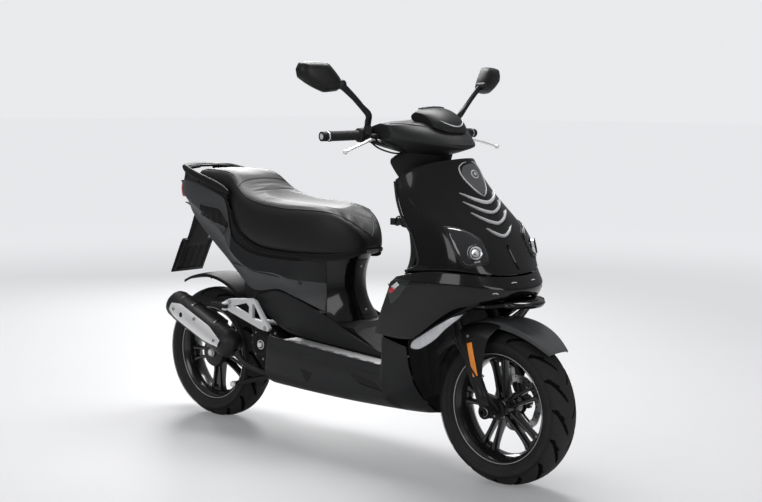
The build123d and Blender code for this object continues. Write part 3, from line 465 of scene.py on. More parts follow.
def torus(name, centre, axis, radius, thick, mat, body="chassis", seg=96, ring=10):
    profile = [(radius + thick * math.cos(a), thick * math.sin(a)) for a in turn(ring)]
    return lathe(name, profile, mat, body, centre, axis, seg=seg, closed=True)


def bolt(name, spot, axis, radius, height, body="chassis", mat="steel", seg=6):
    """Bolt head on a washer, six-sided unless seg says otherwise."""
    shape = [(0, 1), (0.55, 1), (0.62, 0.92), (0.92, 0.9), (1, 0.7), (1, 0)]
    profile = [(radius * a, height * b) for a, b in shape]
    profile += [(radius * 1.35, -0.2), (radius * 1.35, -1.2), (0, -1.2)]
    mesh = lathe(name, profile, mat, body, spot, Vector(axis).normalized(), seg=seg).data
    mesh.polygons.foreach_set("use_smooth", [False] * len(mesh.polygons))


def slab(name, outline, y0, y1, mat, body="chassis", bevel=1.0, seg=2):
    """Flat plate: (x, z) outline between two y stations."""
    count = len(outline)
    verts = [(x, y, z) for y in (y0, y1) for x, z in outline]
    faces = [tuple(range(count)), tuple(range(2 * count - 1, count - 1, -1))]
    faces += [(j, (j + 1) % count, count + (j + 1) % count, count + j) for j in range(count)]
    return mods(solid(name, verts, faces, mat, body, smooth=False),
                bevel=bevel, seg=seg, angle=25)


def block(name, centre, size, mat, body="chassis", bevel=1.5, pitch=0):
    """Box turned pitch degrees about Y."""
    spin = Matrix.Rotation(math.radians(pitch), 3, "Y")
    verts = [tuple(Vector(centre) + spin @ Vector((i * size[0] / 2, j * size[1] / 2,
                                                   k * size[2] / 2)))
             for i in (-1, 1) for j in (-1, 1) for k in (-1, 1)]
    faces = [(0, 1, 3, 2), (4, 6, 7, 5), (0, 4, 5, 1), (2, 3, 7, 6), (0, 2, 6, 4), (1, 5, 7, 3)]
    mods(solid(name, verts, faces, mat, body, smooth=False), bevel=bevel, angle=25)


def strip(name, points, normals, width, thick, mat, body="chassis", steps=8, taper=False,
          bevel=0.3):
    """Flat bar along points, faced to one normal or one per point; width may be a function."""
    if np.isscalar(normals[0]):
        normals = [normals] * len(points)
    path = spline(points, steps)
    facing = spline(normals, steps)
    verts = []
    for i, spot in enumerate(path):
        ahead = heading(path, i)
        out = facing[i] - ahead * np.dot(facing[i], ahead)
        out /= np.linalg.norm(out) + 1e-12
        across = np.cross(ahead, out)
        share = i / (len(path) - 1)
        narrow = max(0.12, min(1.0, 4 * min(share, 1 - share)) ** 0.6) if taper else 1.0
        half = (width(share) if callable(width) else width) * narrow / 2
        for a, b in ((-1, 0), (-0.72, 1), (0.72, 1), (1, 0), (1, -1.2), (-1, -1.2)):
            verts.append(tuple(spot + across * a * half + out * (b * thick)))
    piece = solid(name, verts, ring_faces(len(path), 6, caps=-1), mat, body)
    mods(piece, bevel=bevel, angle=25)


# ------------------------------------------------------------------ detail laid on surfaces
class Surface:
    """The finished outer surface of a piece, in mm."""

    def __init__(self, piece):
        done = piece.evaluated_get(bpy.context.evaluated_depsgraph_get())
        mesh = done.to_mesh()
        verts = [tuple((done.matrix_world @ v.co) / MM) for v in mesh.vertices]
        self.tree = BVHTree.FromPolygons(verts, [tuple(f.vertices) for f in mesh.polygons])
        done.to_mesh_clear()

    def hit(self, start, aim):
        """First point from start along aim, else the nearest; its normal faces back."""
        aim = Vector(aim).normalized()
        spot, normal, _, _ = self.tree.ray_cast(Vector(start), aim)
        if spot is None:
            spot, normal, _, _ = self.tree.find_nearest(Vector(start))
        return spot, (-normal if normal.dot(aim) > 0 else normal)


def decal(name, surface, origin, across, up, outline, mat, body="chassis", lift=0.6, thick=1.6,
          step=9.0, bevel=0.4, dome=0.0):
    """Thin plate drawn in the across-up plane and laid on the surface behind it."""
    across, up = Vector(across).normalized(), Vector(up).normalized()
    aim = -across.cross(up)
    edit = bmesh.new()
    face = edit.faces.new([edit.verts.new((a, b, 0)) for a, b in outline])
    bmesh.ops.triangulate(edit, faces=[face])
    for _ in range(6):
        long_edges = [e for e in edit.edges if e.calc_length() > step]
        if not long_edges:
            break
        bmesh.ops.subdivide_edges(edit, edges=long_edges, cuts=1)
        bmesh.ops.triangulate(edit, faces=edit.faces[:])
    bmesh.ops.join_triangles(edit, faces=edit.faces[:], angle_face_threshold=0.5,
                             angle_shape_threshold=0.7)
    verts = []
    for i, vert in enumerate(edit.verts):
        vert.index = i
        start = Vector(origin) + across * vert.co.x + up * vert.co.y
        spot, normal = surface.hit(start - aim * 60, aim)
        rim = any(len(e.link_faces) < 2 for e in vert.link_edges)
        verts.append(tuple(spot + normal * (lift + (0.0 if rim else dome))))
    faces = [tuple(v.index for v in f.verts) for f in edit.faces]
    edit.free()
    mesh = mesh_mm(name, verts, faces)
    if sum(f.normal.dot(aim) * f.area for f in mesh.polygons) > 0:
        mesh.flip_normals()
    return mods(add(name, mesh, mat, body), solid=thick, bevel=bevel, angle=40)


def side_decal(name, surface, side, centre, outline, mat, body="chassis", **options):
    """Decal from an (x, z) outline, laid on inward from one side."""
    flat = [((x - centre[0]) * side, z - centre[1]) for x, z in outline]
    decal(name, surface, (centre[0], -300 * side, centre[1]), (side, 0, 0), (0, 0, 1), flat,
          mat, body, **options)


def laid_strip(name, surface, points, aim, lift, width, thick, mat, body="chassis", **options):
    """Strip laid on the surface along aim."""
    back = Vector(aim).normalized() * 60
    hits = [surface.hit(Vector(p) - back, aim) for p in points]
    strip(name, [spot + normal * lift for spot, normal in hits], [n for _, n in hits],
          width, thick, mat, body, **options)


def side_strip(name, surface, side, line, lift, width, thick, mat, **options):
    """Strip along an (x, z) line, laid on inward from one side."""
    laid_strip(name, surface, [(x, -300 * side, z) for x, z in line], (0, side, 0), lift,
               width, thick, mat, **options)


# ------------------------------------------------------------------ kept CAD pieces
# CAD piece: (material, edge bevel)
CAD_LOOKS = {
    "wheel_arch": ("matte", 0.8), "glovebox_door": ("dark", 1.2), "key_barrel": ("dmetal", 0.5),
    "floorboard": ("matte", 1.0), "tread_strips": ("tread", 0.8),
    "pillion_brackets": ("cast", 2.4), "storage_box": ("matte", 1.0),
    "fuel_tank": ("dmetal", 1.5), "frame": ("dmetal", 1.0), "fuel_cap": ("matte", 1.5),
    "footpeg_r": ("rubber", 1.6), "footpeg_l": ("rubber", 1.6), "fork_legs": ("matte", 1.0),
    "steering_stem": ("dmetal", 0.6), "front_caliper": ("cast", 1.2),
    "handlebar": ("matte", 0.8), "control_housings": ("matte", 2.4),
    "engine_case": ("dmetal", 2.2), "crank_fan": ("steel", 0.5),
    "driven_pulley": ("steel", 0.5), "drive_belt": ("belt", 0.4),
    "shock_upper": ("dmetal", 1.0), "shock_lower": ("steel", 0.8),
    "kick_lever": ("steel", 1.8), "center_stand": ("dmetal", 1.6)}
for cad_name, (cad_mat, cad_bevel) in CAD_LOOKS.items():
    cad_piece = frame["nodes"][cad_name]
    cad_piece.data.materials.clear()
    cad_piece.data.materials.append(M[cad_mat])
    for face in cad_piece.data.polygons:
        face.use_smooth = True
        face.material_index = 0
    mods(cad_piece, bevel=cad_bevel, angle=40)

# ------------------------------------------------------------------ body panel control grids
# Each row is (x, y, z) points. The first four start at the middle and are mirrored.
SHIELD = [  # rows run down the shield
    [(505, 0, 1008), (492, -50, 1005), (448, -102, 995), (396, -148, 974), (354, -171, 940)],
    [(530, 0, 965), (517, -58, 958), (478, -112, 938), (425, -158, 908), (378, -184, 876)],
    [(562, 0, 912), (552, -64, 906), (520, -125, 890), (468, -174, 860), (412, -197, 826)],
    [(592, 0, 862), (584, -70, 858), (562, -134, 848), (520, -186, 828), (450, -204, 786)],
    [(622, 0, 816), (616, -76, 813), (600, -140, 810), (566, -190, 800), (476, -210, 745)],
    [(652, 0, 770), (648, -80, 768), (636, -145, 766), (596, -196, 756), (492, -214, 705)],
    [(688, 0, 715), (680, -84, 714), (662, -150, 710), (612, -200, 706), (486, -218, 684)],
    [(722, 0, 662), (710, -86, 664), (672, -152, 672), (606, -204, 682), (446, -222, 668)]]
WING = [  # rows run down
    [(725, 0, 656), (712, -87, 658), (673, -155, 666), (606, -207, 676), (500, -224, 670),
     (412, -226, 648)],
    [(752, 0, 620), (736, -92, 622), (684, -162, 632), (608, -220, 640), (500, -238, 640),
     (398, -240, 630)],
    [(748, 0, 604), (730, -94, 596), (676, -160, 590), (600, -212, 592), (488, -234, 590),
     (376, -238, 580)],
    [(735, 0, 600), (716, -94, 586), (654, -162, 566), (572, -200, 540), (470, -226, 525),
     (346, -234, 520)],
    [(724, 0, 598), (702, -94, 580), (640, -160, 558), (500, -206, 470), (445, -216, 446),
     (320, -226, 460)]]
INNER = [  # rows run down
    [(292, 0, 893), (300, -70, 897), (327, -122, 912), (362, -158, 926)],
    [(318, 0, 840), (326, -75, 840), (354, -134, 845), (400, -176, 850)],
    [(345, 0, 770), (352, -80, 770), (387, -148, 775), (452, -196, 778)],
    [(355, 0, 700), (362, -85, 700), (397, -152, 700), (484, -205, 702)],
    [(352, 0, 655), (360, -90, 655), (385, -160, 650), (424, -212, 646)],
    [(345, 0, 560), (350, -90, 560), (358, -160, 560), (372, -218, 560)],
    [(338, 0, 470), (340, -90, 470), (338, -160, 470), (334, -212, 470)],
    [(337, 0, 372), (337, -90, 370), (337, -150, 368), (337, -198, 366)]]
TOWER = [  # rows run down
    [(72, 0, 676), (66, -28, 674), (48, -56, 668), (18, -78, 660), (-22, -98, 652)],
    [(44, 0, 622), (40, -28, 622), (26, -54, 620), (2, -74, 612), (-26, -90, 604)],
    [(36, 0, 560), (32, -28, 560), (20, -52, 556), (0, -72, 548), (-26, -88, 538)],
    [(58, 0, 500), (52, -32, 499), (36, -60, 495), (10, -84, 486), (-18, -102, 474)],
    [(96, 0, 452), (88, -38, 451), (68, -76, 448), (34, -102, 440), (-8, -118, 428)]]
SKIRT = [  # rows run forward, each from top to bottom
    [(-196, -200, 384), (-208, -200, 330), (-226, -190, 262), (-240, -160, 218), (-246, -120, 201)],
    [(-140, -203, 381), (-140, -203, 320), (-140, -195, 252), (-140, -160, 211), (-140, -118, 197)],
    [(0, -203, 373), (0, -204, 310), (0, -196, 246), (0, -160, 207), (0, -112, 193)],
    [(150, -203, 364), (150, -204, 300), (150, -190, 241), (150, -150, 203), (150, -100, 189)],
    [(328, -203, 354), (328, -203, 296), (328, -180, 241), (328, -130, 205), (328, -60, 184)],
    [(342, -217, 450), (342, -208, 335), (342, -182, 262), (342, -126, 210), (342, -56, 184)],
    [(390, -215, 438), (390, -202, 342), (390, -172, 272), (390, -112, 216), (390, -42, 183)],
    [(440, -213, 428), (432, -191, 366), (428, -162, 305), (418, -105, 240), (414, -28, 186)]]
TAIL = [  # rows run forward: top edge, crease line, bottom edge
    [(-800, -76, 884), (-786, -84, 846), (-757, -74, 796)],
    [(-750, -100, 886), (-742, -116, 835), (-722, -100, 780)],
    [(-680, -122, 884), (-672, -138, 812), (-660, -124, 748)],
    [(-600, -134, 868), (-592, -151, 780), (-584, -138, 700)],
    [(-520, -145, 850), (-515, -157, 740), (-508, -146, 652)],
    [(-462, -150, 832), (-460, -160, 700), (-456, -149, 618)],
    [(-450, -153, 700), (-446, -160, 660), (-440, -150, 604)],
    [(-390, -156, 668), (-386, -162, 620), (-380, -152, 560)],
    [(-320, -158, 648), (-320, -163, 590), (-320, -154, 512)],
    [(-200, -158, 643), (-200, -163, 600), (-200, -155, 548)],
    [(-150, -156, 643), (-150, -161, 580), (-150, -154, 530)],
    [(-100, -145, 644), (-100, -147, 578), (-100, -144, 514)],
    [(-56, -122, 646), (-58, -116, 574), (-54, -124, 492)],
    [(-22, -98, 650), (-26, -88, 570), (-18, -104, 474)]]
MID = [  # rows run forward, each from top to bottom
    [(-306, -150, 506), (-300, -150, 498), (-292, -150, 490)],
    [(-250, -151, 524), (-246, -150, 485), (-240, -148, 452)],
    [(-205, -152, 540), (-203, -149, 470), (-198, -137, 392)],
    [(-100, -145, 509), (-100, -142, 445), (-100, -132, 383)],
    [(0, -110, 462), (0, -124, 418), (0, -130, 376)],
    [(100, -132, 428), (100, -130, 398), (100, -126, 370)],
    [(200, -126, 390), (200, -124, 376), (200, -122, 364)],
    [(300, -121, 364), (300, -121, 360), (300, -120, 356)]]

# ------------------------------------------------------------------ front bodywork
shield = panel("front_shield_skin", mirrored(SHIELD), "gloss", hard_cols=(1, 2, 6, 7),
               hardness=0.35, away=(350, 0, 800))
mark(shield, "front_shield")
wing = panel("wing_panel_skin", mirrored(WING), "gloss", hard_rows=(1,), hardness=0.7,
             away=(450, 0, 600))
mark(wing, "wing_panels")
inner = panel("inner_legshield_skin", mirrored(INNER), "dark", hard_rows=(4,),
              hard_cols=(2, 4), hardness=0.3, away=(500, 0, 700))
mark(inner, "inner_legshield")
shield_surface = Surface(shield)
wing_surface = Surface(wing)
inner_surface = Surface(inner)

# closing panel at the top of the shield, dished round the steering stem
SHIELD_TOP = [
    [(498, 0, 1003), (486, -50, 1000), (443, -98, 990), (392, -144, 969), (354, -167, 937)],
    [(470, 0, 980), (455, -48, 976), (424, -92, 966), (386, -128, 950), (352, -150, 932)],
    [(392, 0, 930), (386, -60, 930), (376, -100, 930), (364, -126, 929), (352, -142, 927)],
    [(300, 0, 898), (306, -60, 901), (322, -104, 910), (340, -132, 919), (356, -150, 926)]]
panel("shield_top_closing", mirrored(SHIELD_TOP), "matte", thick=2.5, away=(420, 0, 700))

# bead down each side edge of the shield
SHIELD_EDGE = [(354, -170, 936), (378, -184, 876), (412, -197, 826), (450, -204, 786),
               (476, -210, 745), (490, -214, 705), (484, -218, 684), (446, -222, 668)]
for side, tag in SIDES:
    tube("shield_edge_" + tag, sided([(x - 3, y, z - 2) for x, y, z in SHIELD_EDGE], side), 4.2,
         "satin", seg=14)

# badge panel: pointed oval at the top of the shield, with silver rims and a ring in it
BADGE_AT = (540, 0, 948)
BADGE_PLANE = (BADGE_AT, (0, 1, 0), (-0.45, 0, 0.89))
BADGE_OUTLINE = [(0, -58), (16, -48), (34, -24), (44, 6), (42, 30), (28, 44),
                 (0, 50), (-28, 44), (-42, 30), (-44, 6), (-34, -24), (-16, -48)]
BADGE_RIM = [(2, -64), (20, -50), (38, -25), (48.5, 6), (46.5, 32), (31, 47), (12, 53)]
badge = decal("badge_panel", shield_surface, *BADGE_PLANE, smooth_outline(BADGE_OUTLINE, 4),
              "badge", lift=2.4, thick=3.4, step=8, bevel=0.6)
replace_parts(badge, "nose_trim")
for side, tag in SIDES:
    rim = [(BADGE_AT[0] - 0.45 * b + 60, side * -a, BADGE_AT[2] + 0.89 * b) for a, b in BADGE_RIM]
    laid_strip("badge_edge_" + tag, shield_surface, rim, BACKWARD, 2.0, 4.2, 1.7, "silver",
               taper=True)
for k, (radius, mat, lift) in enumerate(((15.0, "silver", 4.4), (11.2, "badge", 5.0),
                                         (5.0, "silver", 5.8))):
    circle = [(radius * math.cos(a), 12 + radius * math.sin(a)) for a in turn(40)]
    decal("badge_ring_%d" % k, shield_surface, *BADGE_PLANE, circle, mat, lift=lift, thick=2.6)

# louvres: swept bars across the shield, with black strips under them as painted shade
# (middle height, half span, rise of the ends, bar width, material)
LOUVRES = [(872, 84, 30, 11.5, "silver"), (842, 90, 34, 9.5, "fin"),
           (810, 86, 34, 9.5, "fin"), (772, 60, 26, 9.5, "fin")]
for k, (height, span, rise, width, mat) in enumerate(LOUVRES):
    line = [(700, y, height + rise * abs(y / span) ** 1.7) for y in np.linspace(-span, span, 13)]
    laid_strip("louvre_%d" % k, shield_surface, line, BACKWARD, 2.6,
               lambda f: width * (1 - 0.55 * abs(2 * f - 1) ** 2), 3.6, mat, taper=True,
               bevel=0.6)
    laid_strip("louvre_slot_%d" % k, shield_surface, [(x, y * 0.94, z - 12) for x, y, z in line],
               BACKWARD, 0.2, lambda f: 12 * (1 - 0.5 * abs(2 * f - 1) ** 2), 0.5, "shade_seam_black",
               taper=True, bevel=0.1)
# raised centre ridge from the last louvre to the beak
laid_strip("nose_ridge", shield_surface, [(760, 0, z) for z in (748, 730, 712, 694, 676)],
           BACKWARD, 0.4, lambda f: 16 - 4 * f, 5.0, "gloss", taper=True, bevel=1.5)

# headlights: smoked lens, bright round reflector with rings and a bulb
LAMP_CORNERS = [(566, -188, 812), (596, -160, 806), (644, -112, 778), (668, -104, 742),
                (680, -106, 702), (662, -142, 692), (640, -178, 690), (606, -192, 744)]
LAMP_TOP = [(590, -170, 796), (618, -140, 788), (646, -116, 764)]


def headlight(side, tag):
    out = Vector((0.80, -0.55 * side, 0.22)).normalized()
    across = Vector((0, 0, 1)).cross(out).normalized()
    up = out.cross(across)
    origin = Vector((636, -146 * side, 742))
    reach = [Vector(p) - origin for p in sided(LAMP_CORNERS, side)]
    corners = [(d.dot(across), d.dot(up)) for d in reach][::side]
    outline = smooth_outline(corners, 3)
    plane = (shield_surface, origin, across, up)
    decal("headlight_bezel_" + tag, *plane, outline, "dark", lift=1.2, thick=3.2, step=10,
          bevel=0.6)
    lens = decal("headlight_lens_" + tag, *plane,
                 [((a + 1) * 0.88, (b + 1) * 0.88) for a, b in outline], "hlens", lift=3.6,
                 thick=3.0, step=10, bevel=0.8, dome=1.6)
    mark(lens, "headlights", side)
    spot, _ = shield_surface.hit(Vector((649, -142 * side, 730)) + out * 60, -out)
    centre = spot + out * 8.0
    bowl = [(0.5, -2.4), (8, -2.1), (15, -1.0), (20.5, 1.2), (22, 3.4), (23.8, 3.4), (25.5, -6)]
    lathe("headlight_bowl_" + tag, bowl, "reflector", "chassis", centre, out, seg=56)
    torus("headlight_ring_" + tag, centre + out * 3.6, out, 22.6, 2.4, "dark", seg=72)
    torus("headlight_inner_ring_" + tag, centre + out * 0.6, out, 13.5, 1.0, "dark", seg=48)
    lathe("headlight_bulb_" + tag, [(0, 2.6), (3, 2.2), (4.2, 0.6), (4.4, -6), (0, -6)], "fin",
          "chassis", centre, out, seg=24)
    laid_strip("position_lamp_" + tag, shield_surface,
               [Vector(p) + out * 40 for p in sided(LAMP_TOP, side)], -out, 5.4, 4.0, 1.2,
               "badge", taper=True)


for side, tag in SIDES:
    headlight(side, tag)

# beak spoiler under the nose; distance from the middle: (rear x, front x, top z, bottom z)
BEAK = {80: (712, 738, 584, 568), 72: (704, 758, 587, 563), 42: (694, 784, 589, 561),
        0: (690, 800, 590, 560)}
beak_rings = []
for y in (-80, -72, -42, 0, 42, 72, 80):
    rear, front, top, low = BEAK[abs(y)]
    middle = (rear + front) / 2
    beak_rings.append([(rear, y, top + 1), (middle, y, top - 1), (front - 6, y, top - 5),
                       (front, y, top - 12), (front - 8, y, low), (middle, y, low - 1),
                       (rear, y, low)])
beak = skin("beak_spoiler", beak_rings, "gloss", hard_rows=(0, 6), hard_cols=(3,))
WINGLET = [  # rings from the beak outwards
    [(688, -86, 586), (742, -88, 582), (746, -88, 574), (690, -86, 570)],
    [(668, -112, 584), (722, -116, 578), (726, -116, 570), (670, -112, 566)],
    [(640, -146, 582), (684, -150, 575), (686, -150, 568), (642, -146, 566)]]
NOSE_GLINTS = [((706, -60), (724, -36), 640), ((684, -126), (700, -108), None)]
# silver streaks low on the nose, painted glints: end points
NOSE_GLINTS = [((706, -60, 640), (724, -36, 640)), ((684, -126, 612), (700, -108, 610))]
for side, tag in SIDES:
    skin("beak_winglet_" + tag, sided(WINGLET, side), "gloss", hard_rows=(0, 2),
         hard_cols=(1, 2))
    for k, (a, b) in enumerate(NOSE_GLINTS):
        middle = ((a[0] + b[0]) / 2, (a[1] + b[1]) / 2, a[2] + 1)
        line = [(x + 90, y * side, z) for x, y, z in (a, middle, b)]
        laid_strip(f"nose_glint_{k}_{tag}", wing_surface, line, BACKWARD, 0.5, 3.4, 0.9,
                   "silver", taper=True)

# indicators: long ribbed strips along the lower wing edges
# three cross lines of the lens, top to bottom, each of three points
INDICATOR = [[(642, -166, 556), (620, -183, 548), (594, -195, 537)],
             [(574, -197, 500), (550, -209, 493), (524, -211, 486)],
             [(510, -207, 434), (476, -215, 429), (450, -215, 436)]]
LENS_ROWS = 64


def through(a, b, c, t):
    """Parabola through three points at t = 0, 0.5 and 1."""
    return (np.array(a, float) * (1 - t) * (1 - 2 * t) + np.array(b, float) * 4 * t * (1 - t)
            + np.array(c, float) * t * (2 * t - 1))


def indicator_point(i, j):
    """Row i down the lens, point j of 7 across it; a rib every four rows."""
    down = i / LENS_ROWS
    spread = (1.5 * (1 - 0.6 * max(0, (down - 0.7) / 0.3) ** 2)
              * (0.62 + 0.38 * min(1, down / 0.25)))
    middle = through(*[through(*line, 0.5) for line in INDICATOR], down)
    spot = through(*[through(*line, j / 6) for line in INDICATOR], down)
    spot = middle + (spot - middle) * spread
    rib = 1.1 * (0.5 - 0.5 * math.cos(2 * math.pi * i / 4)) if 0 < j < 6 else 0
    return (spot[0] + 5.2 + rib * 0.6, spot[1] - 6.2 - rib * 0.8, spot[2] - 2 - rib * 0.3)


for side, tag in SIDES:
    rows = [[sided(indicator_point(i, j), side) for j in range(7)] for i in range(LENS_ROWS + 1)]
    lens = panel("indicator_lens_" + tag, rows, "lens", thick=2.5, sub=1, away=(450, 0, 560),
                 bevel=0.3)
    mark(lens, "front_indicators", side)
    rim = [rows[0][0]] + [row[0] for row in rows[::8]] + [rows[-1][3]]
    rim += [row[6] for row in rows[::-8]] + [rows[0][3], rows[0][0]]
    tube("indicator_rim_" + tag, rim, 2.6, "matte", steps=4, seg=10)

# knee panel: dark triangle with a two-tone stripe
KNEE_CENTRE = (430, 606)
KNEE_STRIPES = [((402, 616), (424, 632), "accw"), ((388, 602), (410, 618), "accr")]
for side, tag in SIDES:
    side_decal("knee_inset_" + tag, wing_surface, side, KNEE_CENTRE,
               [(476, 640), (392, 640), (384, 604), (398, 560), (430, 586)], "inset", step=10)
    for k, (a, b, mat) in enumerate(KNEE_STRIPES):
        stripe = [a, b, (b[0] + 11, b[1] - 8), (a[0] + 11, a[1] - 8)]
        side_decal(f"knee_stripe_{k}_{tag}", wing_surface, side, KNEE_CENTRE, stripe, mat,
                   lift=1.4, thick=1.4, step=10, bevel=0.2)
    side_strip("wing_swage_" + tag, wing_surface, side,
               [(590, 634), (540, 632), (486, 628), (440, 624)], 0.2, 6, 1.2, "gloss",
               taper=True, bevel=0.6)

# key surround, and a boss carrying it where the panel lies far enough forward
key_low, key_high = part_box("key_barrel")
key = (key_low + key_high) / 2 / MM
key_front = key_high.x / MM
torus("key_surround", (key.x + 4, key.y, key.z), (-1, 0, 0.2), 15, 2.2, "matte", seg=40)
behind_key, _ = inner_surface.hit((key_front - 80, key.y, key.z), (1, 0, 0))
if behind_key.x > key_front - 10:
    depth = behind_key.x - key_front + 14
    lathe("key_boss", [(8, -3), (17, -2.5), (19, 0), (21, depth * 0.5), (27, depth),
                       (27, depth + 4)],
          "matte", "chassis", (key_front, key.y, key.z), (1, 0, 0), seg=48)
# recess frame that carries the glovebox door
door_low, door_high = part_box("glovebox_door")
door = (door_low + door_high) / 2 / MM
door_size = (door_high - door_low) / MM
door_front = door_high.x / MM
CUT = 8     # corner cut of the frame
frame_rings = []
for x, grow in ((door_front + 0.8, 0.94), (door_front + 3.8, 0.98), (door_front + 26, 1.06)):
    wide, high = door_size.y * 0.5 * grow, door_size.z * 0.5 * grow
    frame_rings.append([(x, door.y + a, door.z + b) for a, b in (
        (-wide + CUT, -high), (wide - CUT, -high), (wide, -high + CUT), (wide, high - CUT),
        (wide - CUT, high), (-wide + CUT, high), (-wide, high - CUT), (-wide, -high + CUT))])
skin("glovebox_frame", frame_rings, "matte", sub=1, hard_rows=(0, 2))
# closing plates behind the shield edge, black as painted shade
for side, tag in SIDES:
    rows = [[(x, -166 - 4 * math.sin((z - 640) / 40), z) for x in (424, 470, 520, 566)]
            for z in (644, 690, 730, 764)]
    panel("shield_liner_" + tag, sided(rows, side), "shade_seam_black", thick=2, sub=1, away=(500, 0, 700))


# ------------------------------------------------------------------ floor, skirts, tower
def floor_z(x):
    """Height of the sloping floor."""
    return 372 - 28 * (x + 140) / 475


NOTCHES = [[(-44, 292), (20, 284), (2, 270), (-16, 250)],
           [(188, 312), (300, 296), (322, 268), (228, 280)]]
for side, tag in SIDES:
    # tread slots: thin black blocks, painted shade in the grooves
    for k in range(7):
        x = -96 + k * 60
        block(f"tread_slot_{k}_{tag}", (x, -184 * side, floor_z(x) + 5.6), (34, 4.5, 1.2),
              "shade_seam_black", bevel=0.5, pitch=3.3)
    strip("tread_edge_" + tag, [(x, -195 * side, floor_z(x) + 4.6) for x in (-132, 0, 160, 328)],
          (0, 0, 1), 3.5, 1.6, "silver")
    skirt = panel("side_skirt_" + tag, sided(SKIRT, side), "satin", hard_rows=(4, 5),
                  hard_cols=(1, 2), hardness=0.55, away=(100, 0, 330))
    mark(skirt, "side_skirts", side)
    skirt_surface = Surface(skirt)
    # notches: black decals on the skirt, painted shade standing in for the recesses
    for k, notch in enumerate(NOTCHES):
        centre = (sum(p[0] for p in notch) / 4, sum(p[1] for p in notch) / 4)
        side_decal(f"skirt_notch_{k}_{tag}", skirt_surface, side, centre, notch, "shade_seam_black",
                   lift=0.35, thick=1.0, step=12, bevel=0.2)
        side_strip(f"skirt_notch_lip_{k}_{tag}", skirt_surface, side, [notch[3], notch[2]],
                   0.8, 5, 2.0, "dark", bevel=0.6)
    side_strip("skirt_swage_" + tag, skirt_surface, side,
               [(-236, 352), (-120, 346), (40, 338), (200, 328), (322, 322)], 0.2, 5, 1.4,
               "satin", taper=True, bevel=0.6)
    mid = panel("mid_panel_" + tag, sided(MID, side), "satin", away=(0, 0, 430))
    mark(mid, "mid_panels", side)
# (x, half width, z)
BELLY = [(-244, 114, 201), (0, 106, 193), (150, 94, 189), (328, 54, 184), (388, 38, 183),
         (410, 20, 185)]
panel("belly_pan", [[(x, -w, z), (x, 0, z - 6), (x, w, z)] for x, w, z in BELLY], "matte",
      away=(100, 0, 400))
tower = panel("seat_tower_skin", mirrored(TOWER), "gloss", hard_cols=(2, 6), hardness=0.2,
              away=(0, 0, 560))
mark(tower, "seat_tower")
tower_surface = Surface(tower)
decal("tower_centre_strip", tower_surface, (220, 0, 556), (0, 1, 0), (0, 0, 1),
      [(-26, 96), (26, 96), (19, 40), (18, -20), (24, -92), (-24, -92), (-18, -20), (-19, 40)],
      "satin", lift=1.6, thick=2.4, step=12, bevel=0.8)
for k, z in enumerate((628, 482)):
    bolt("tower_screw_%d" % k, tower_surface.hit((300, 0, z), BACKWARD)[0] + Vector((2.0, 0, 0)),
         (1, 0, 0), 4, 1.6)

# ------------------------------------------------------------------ tail panels and tail light
DUCT = [(-618, 806), (-500, 796), (-448, 742), (-470, 730), (-560, 752), (-606, 772)]


def between(a, b, out):
    """A point 0.55 of the way from a to b, shifted by out in y."""
    x, y, z = [a[i] * 0.45 + b[i] * 0.55 for i in range(3)]
    return (x, y + out, z)


def tail_side(side, tag):
    rows = [[a, between(a, b, 1.0), (b[0], b[1] - 2.5, b[2]), between(b, c, 6.0), c]
            for a, b, c in TAIL]
    # the tail panel takes the lighter grey, a painted highlight
    tail = panel("tail_panel_" + tag, sided(rows, side), "satin_highlight", hard_cols=(2,), hardness=1.0,
                 away=(-350, 0, 700))
    mark(tail, "tail_panels", side)
    # painted shade under the seat's edge: the upper facet ahead of the seat step keeps the darker
    # satin grey, while the rest of the panel has the lighter painted-highlight grey
    tail.data.materials.append(M["satin"])
    for face in tail.data.polygons:
        row, col = divmod(min(face.vertices), 5)
        if col < 2 and row >= 6:
            face.material_index = 1
    surface = Surface(tail)
    # air duct: a black decal, painted shade standing in for the recess
    side_decal("tail_duct_" + tag, surface, side, (-530, 768), DUCT, "shade_seam_black", lift=0.5,
               thick=1.2, step=12, bevel=0.2)
    # the duct's lip and top edge take the lighter grey, a painted highlight on its rim
    side_strip("tail_duct_lip_" + tag, surface, side,
               [(-606, 773), (-560, 753), (-470, 731), (-449, 741)], 0.4, 10, 7.5, "satin_highlight",
               taper=True, bevel=1.6)
    side_strip("tail_duct_top_" + tag, surface, side,
               [(-618, 808), (-560, 803), (-500, 798), (-452, 748)], 0.3, 6.0, 4.0, "satin_highlight",
               taper=True, bevel=0.6)
    for k, x in enumerate((-575, -540, -505)):
        vane = [(x, 796 - (x + 575) * 0.1), (x + 16, 756 - (x + 575) * 0.25)]
        side_strip(f"tail_duct_vane_{k}_{tag}", surface, side, vane, 0.6, 4, 1.8, "matte",
                   bevel=0.5)
    side_strip("side_swage_" + tag, surface, side,
               [(-444, 612), (-386, 606), (-300, 592), (-200, 584), (-100, 566), (-16, 552)],
               0.2, 5, 1.4, "satin", taper=True, bevel=0.6)


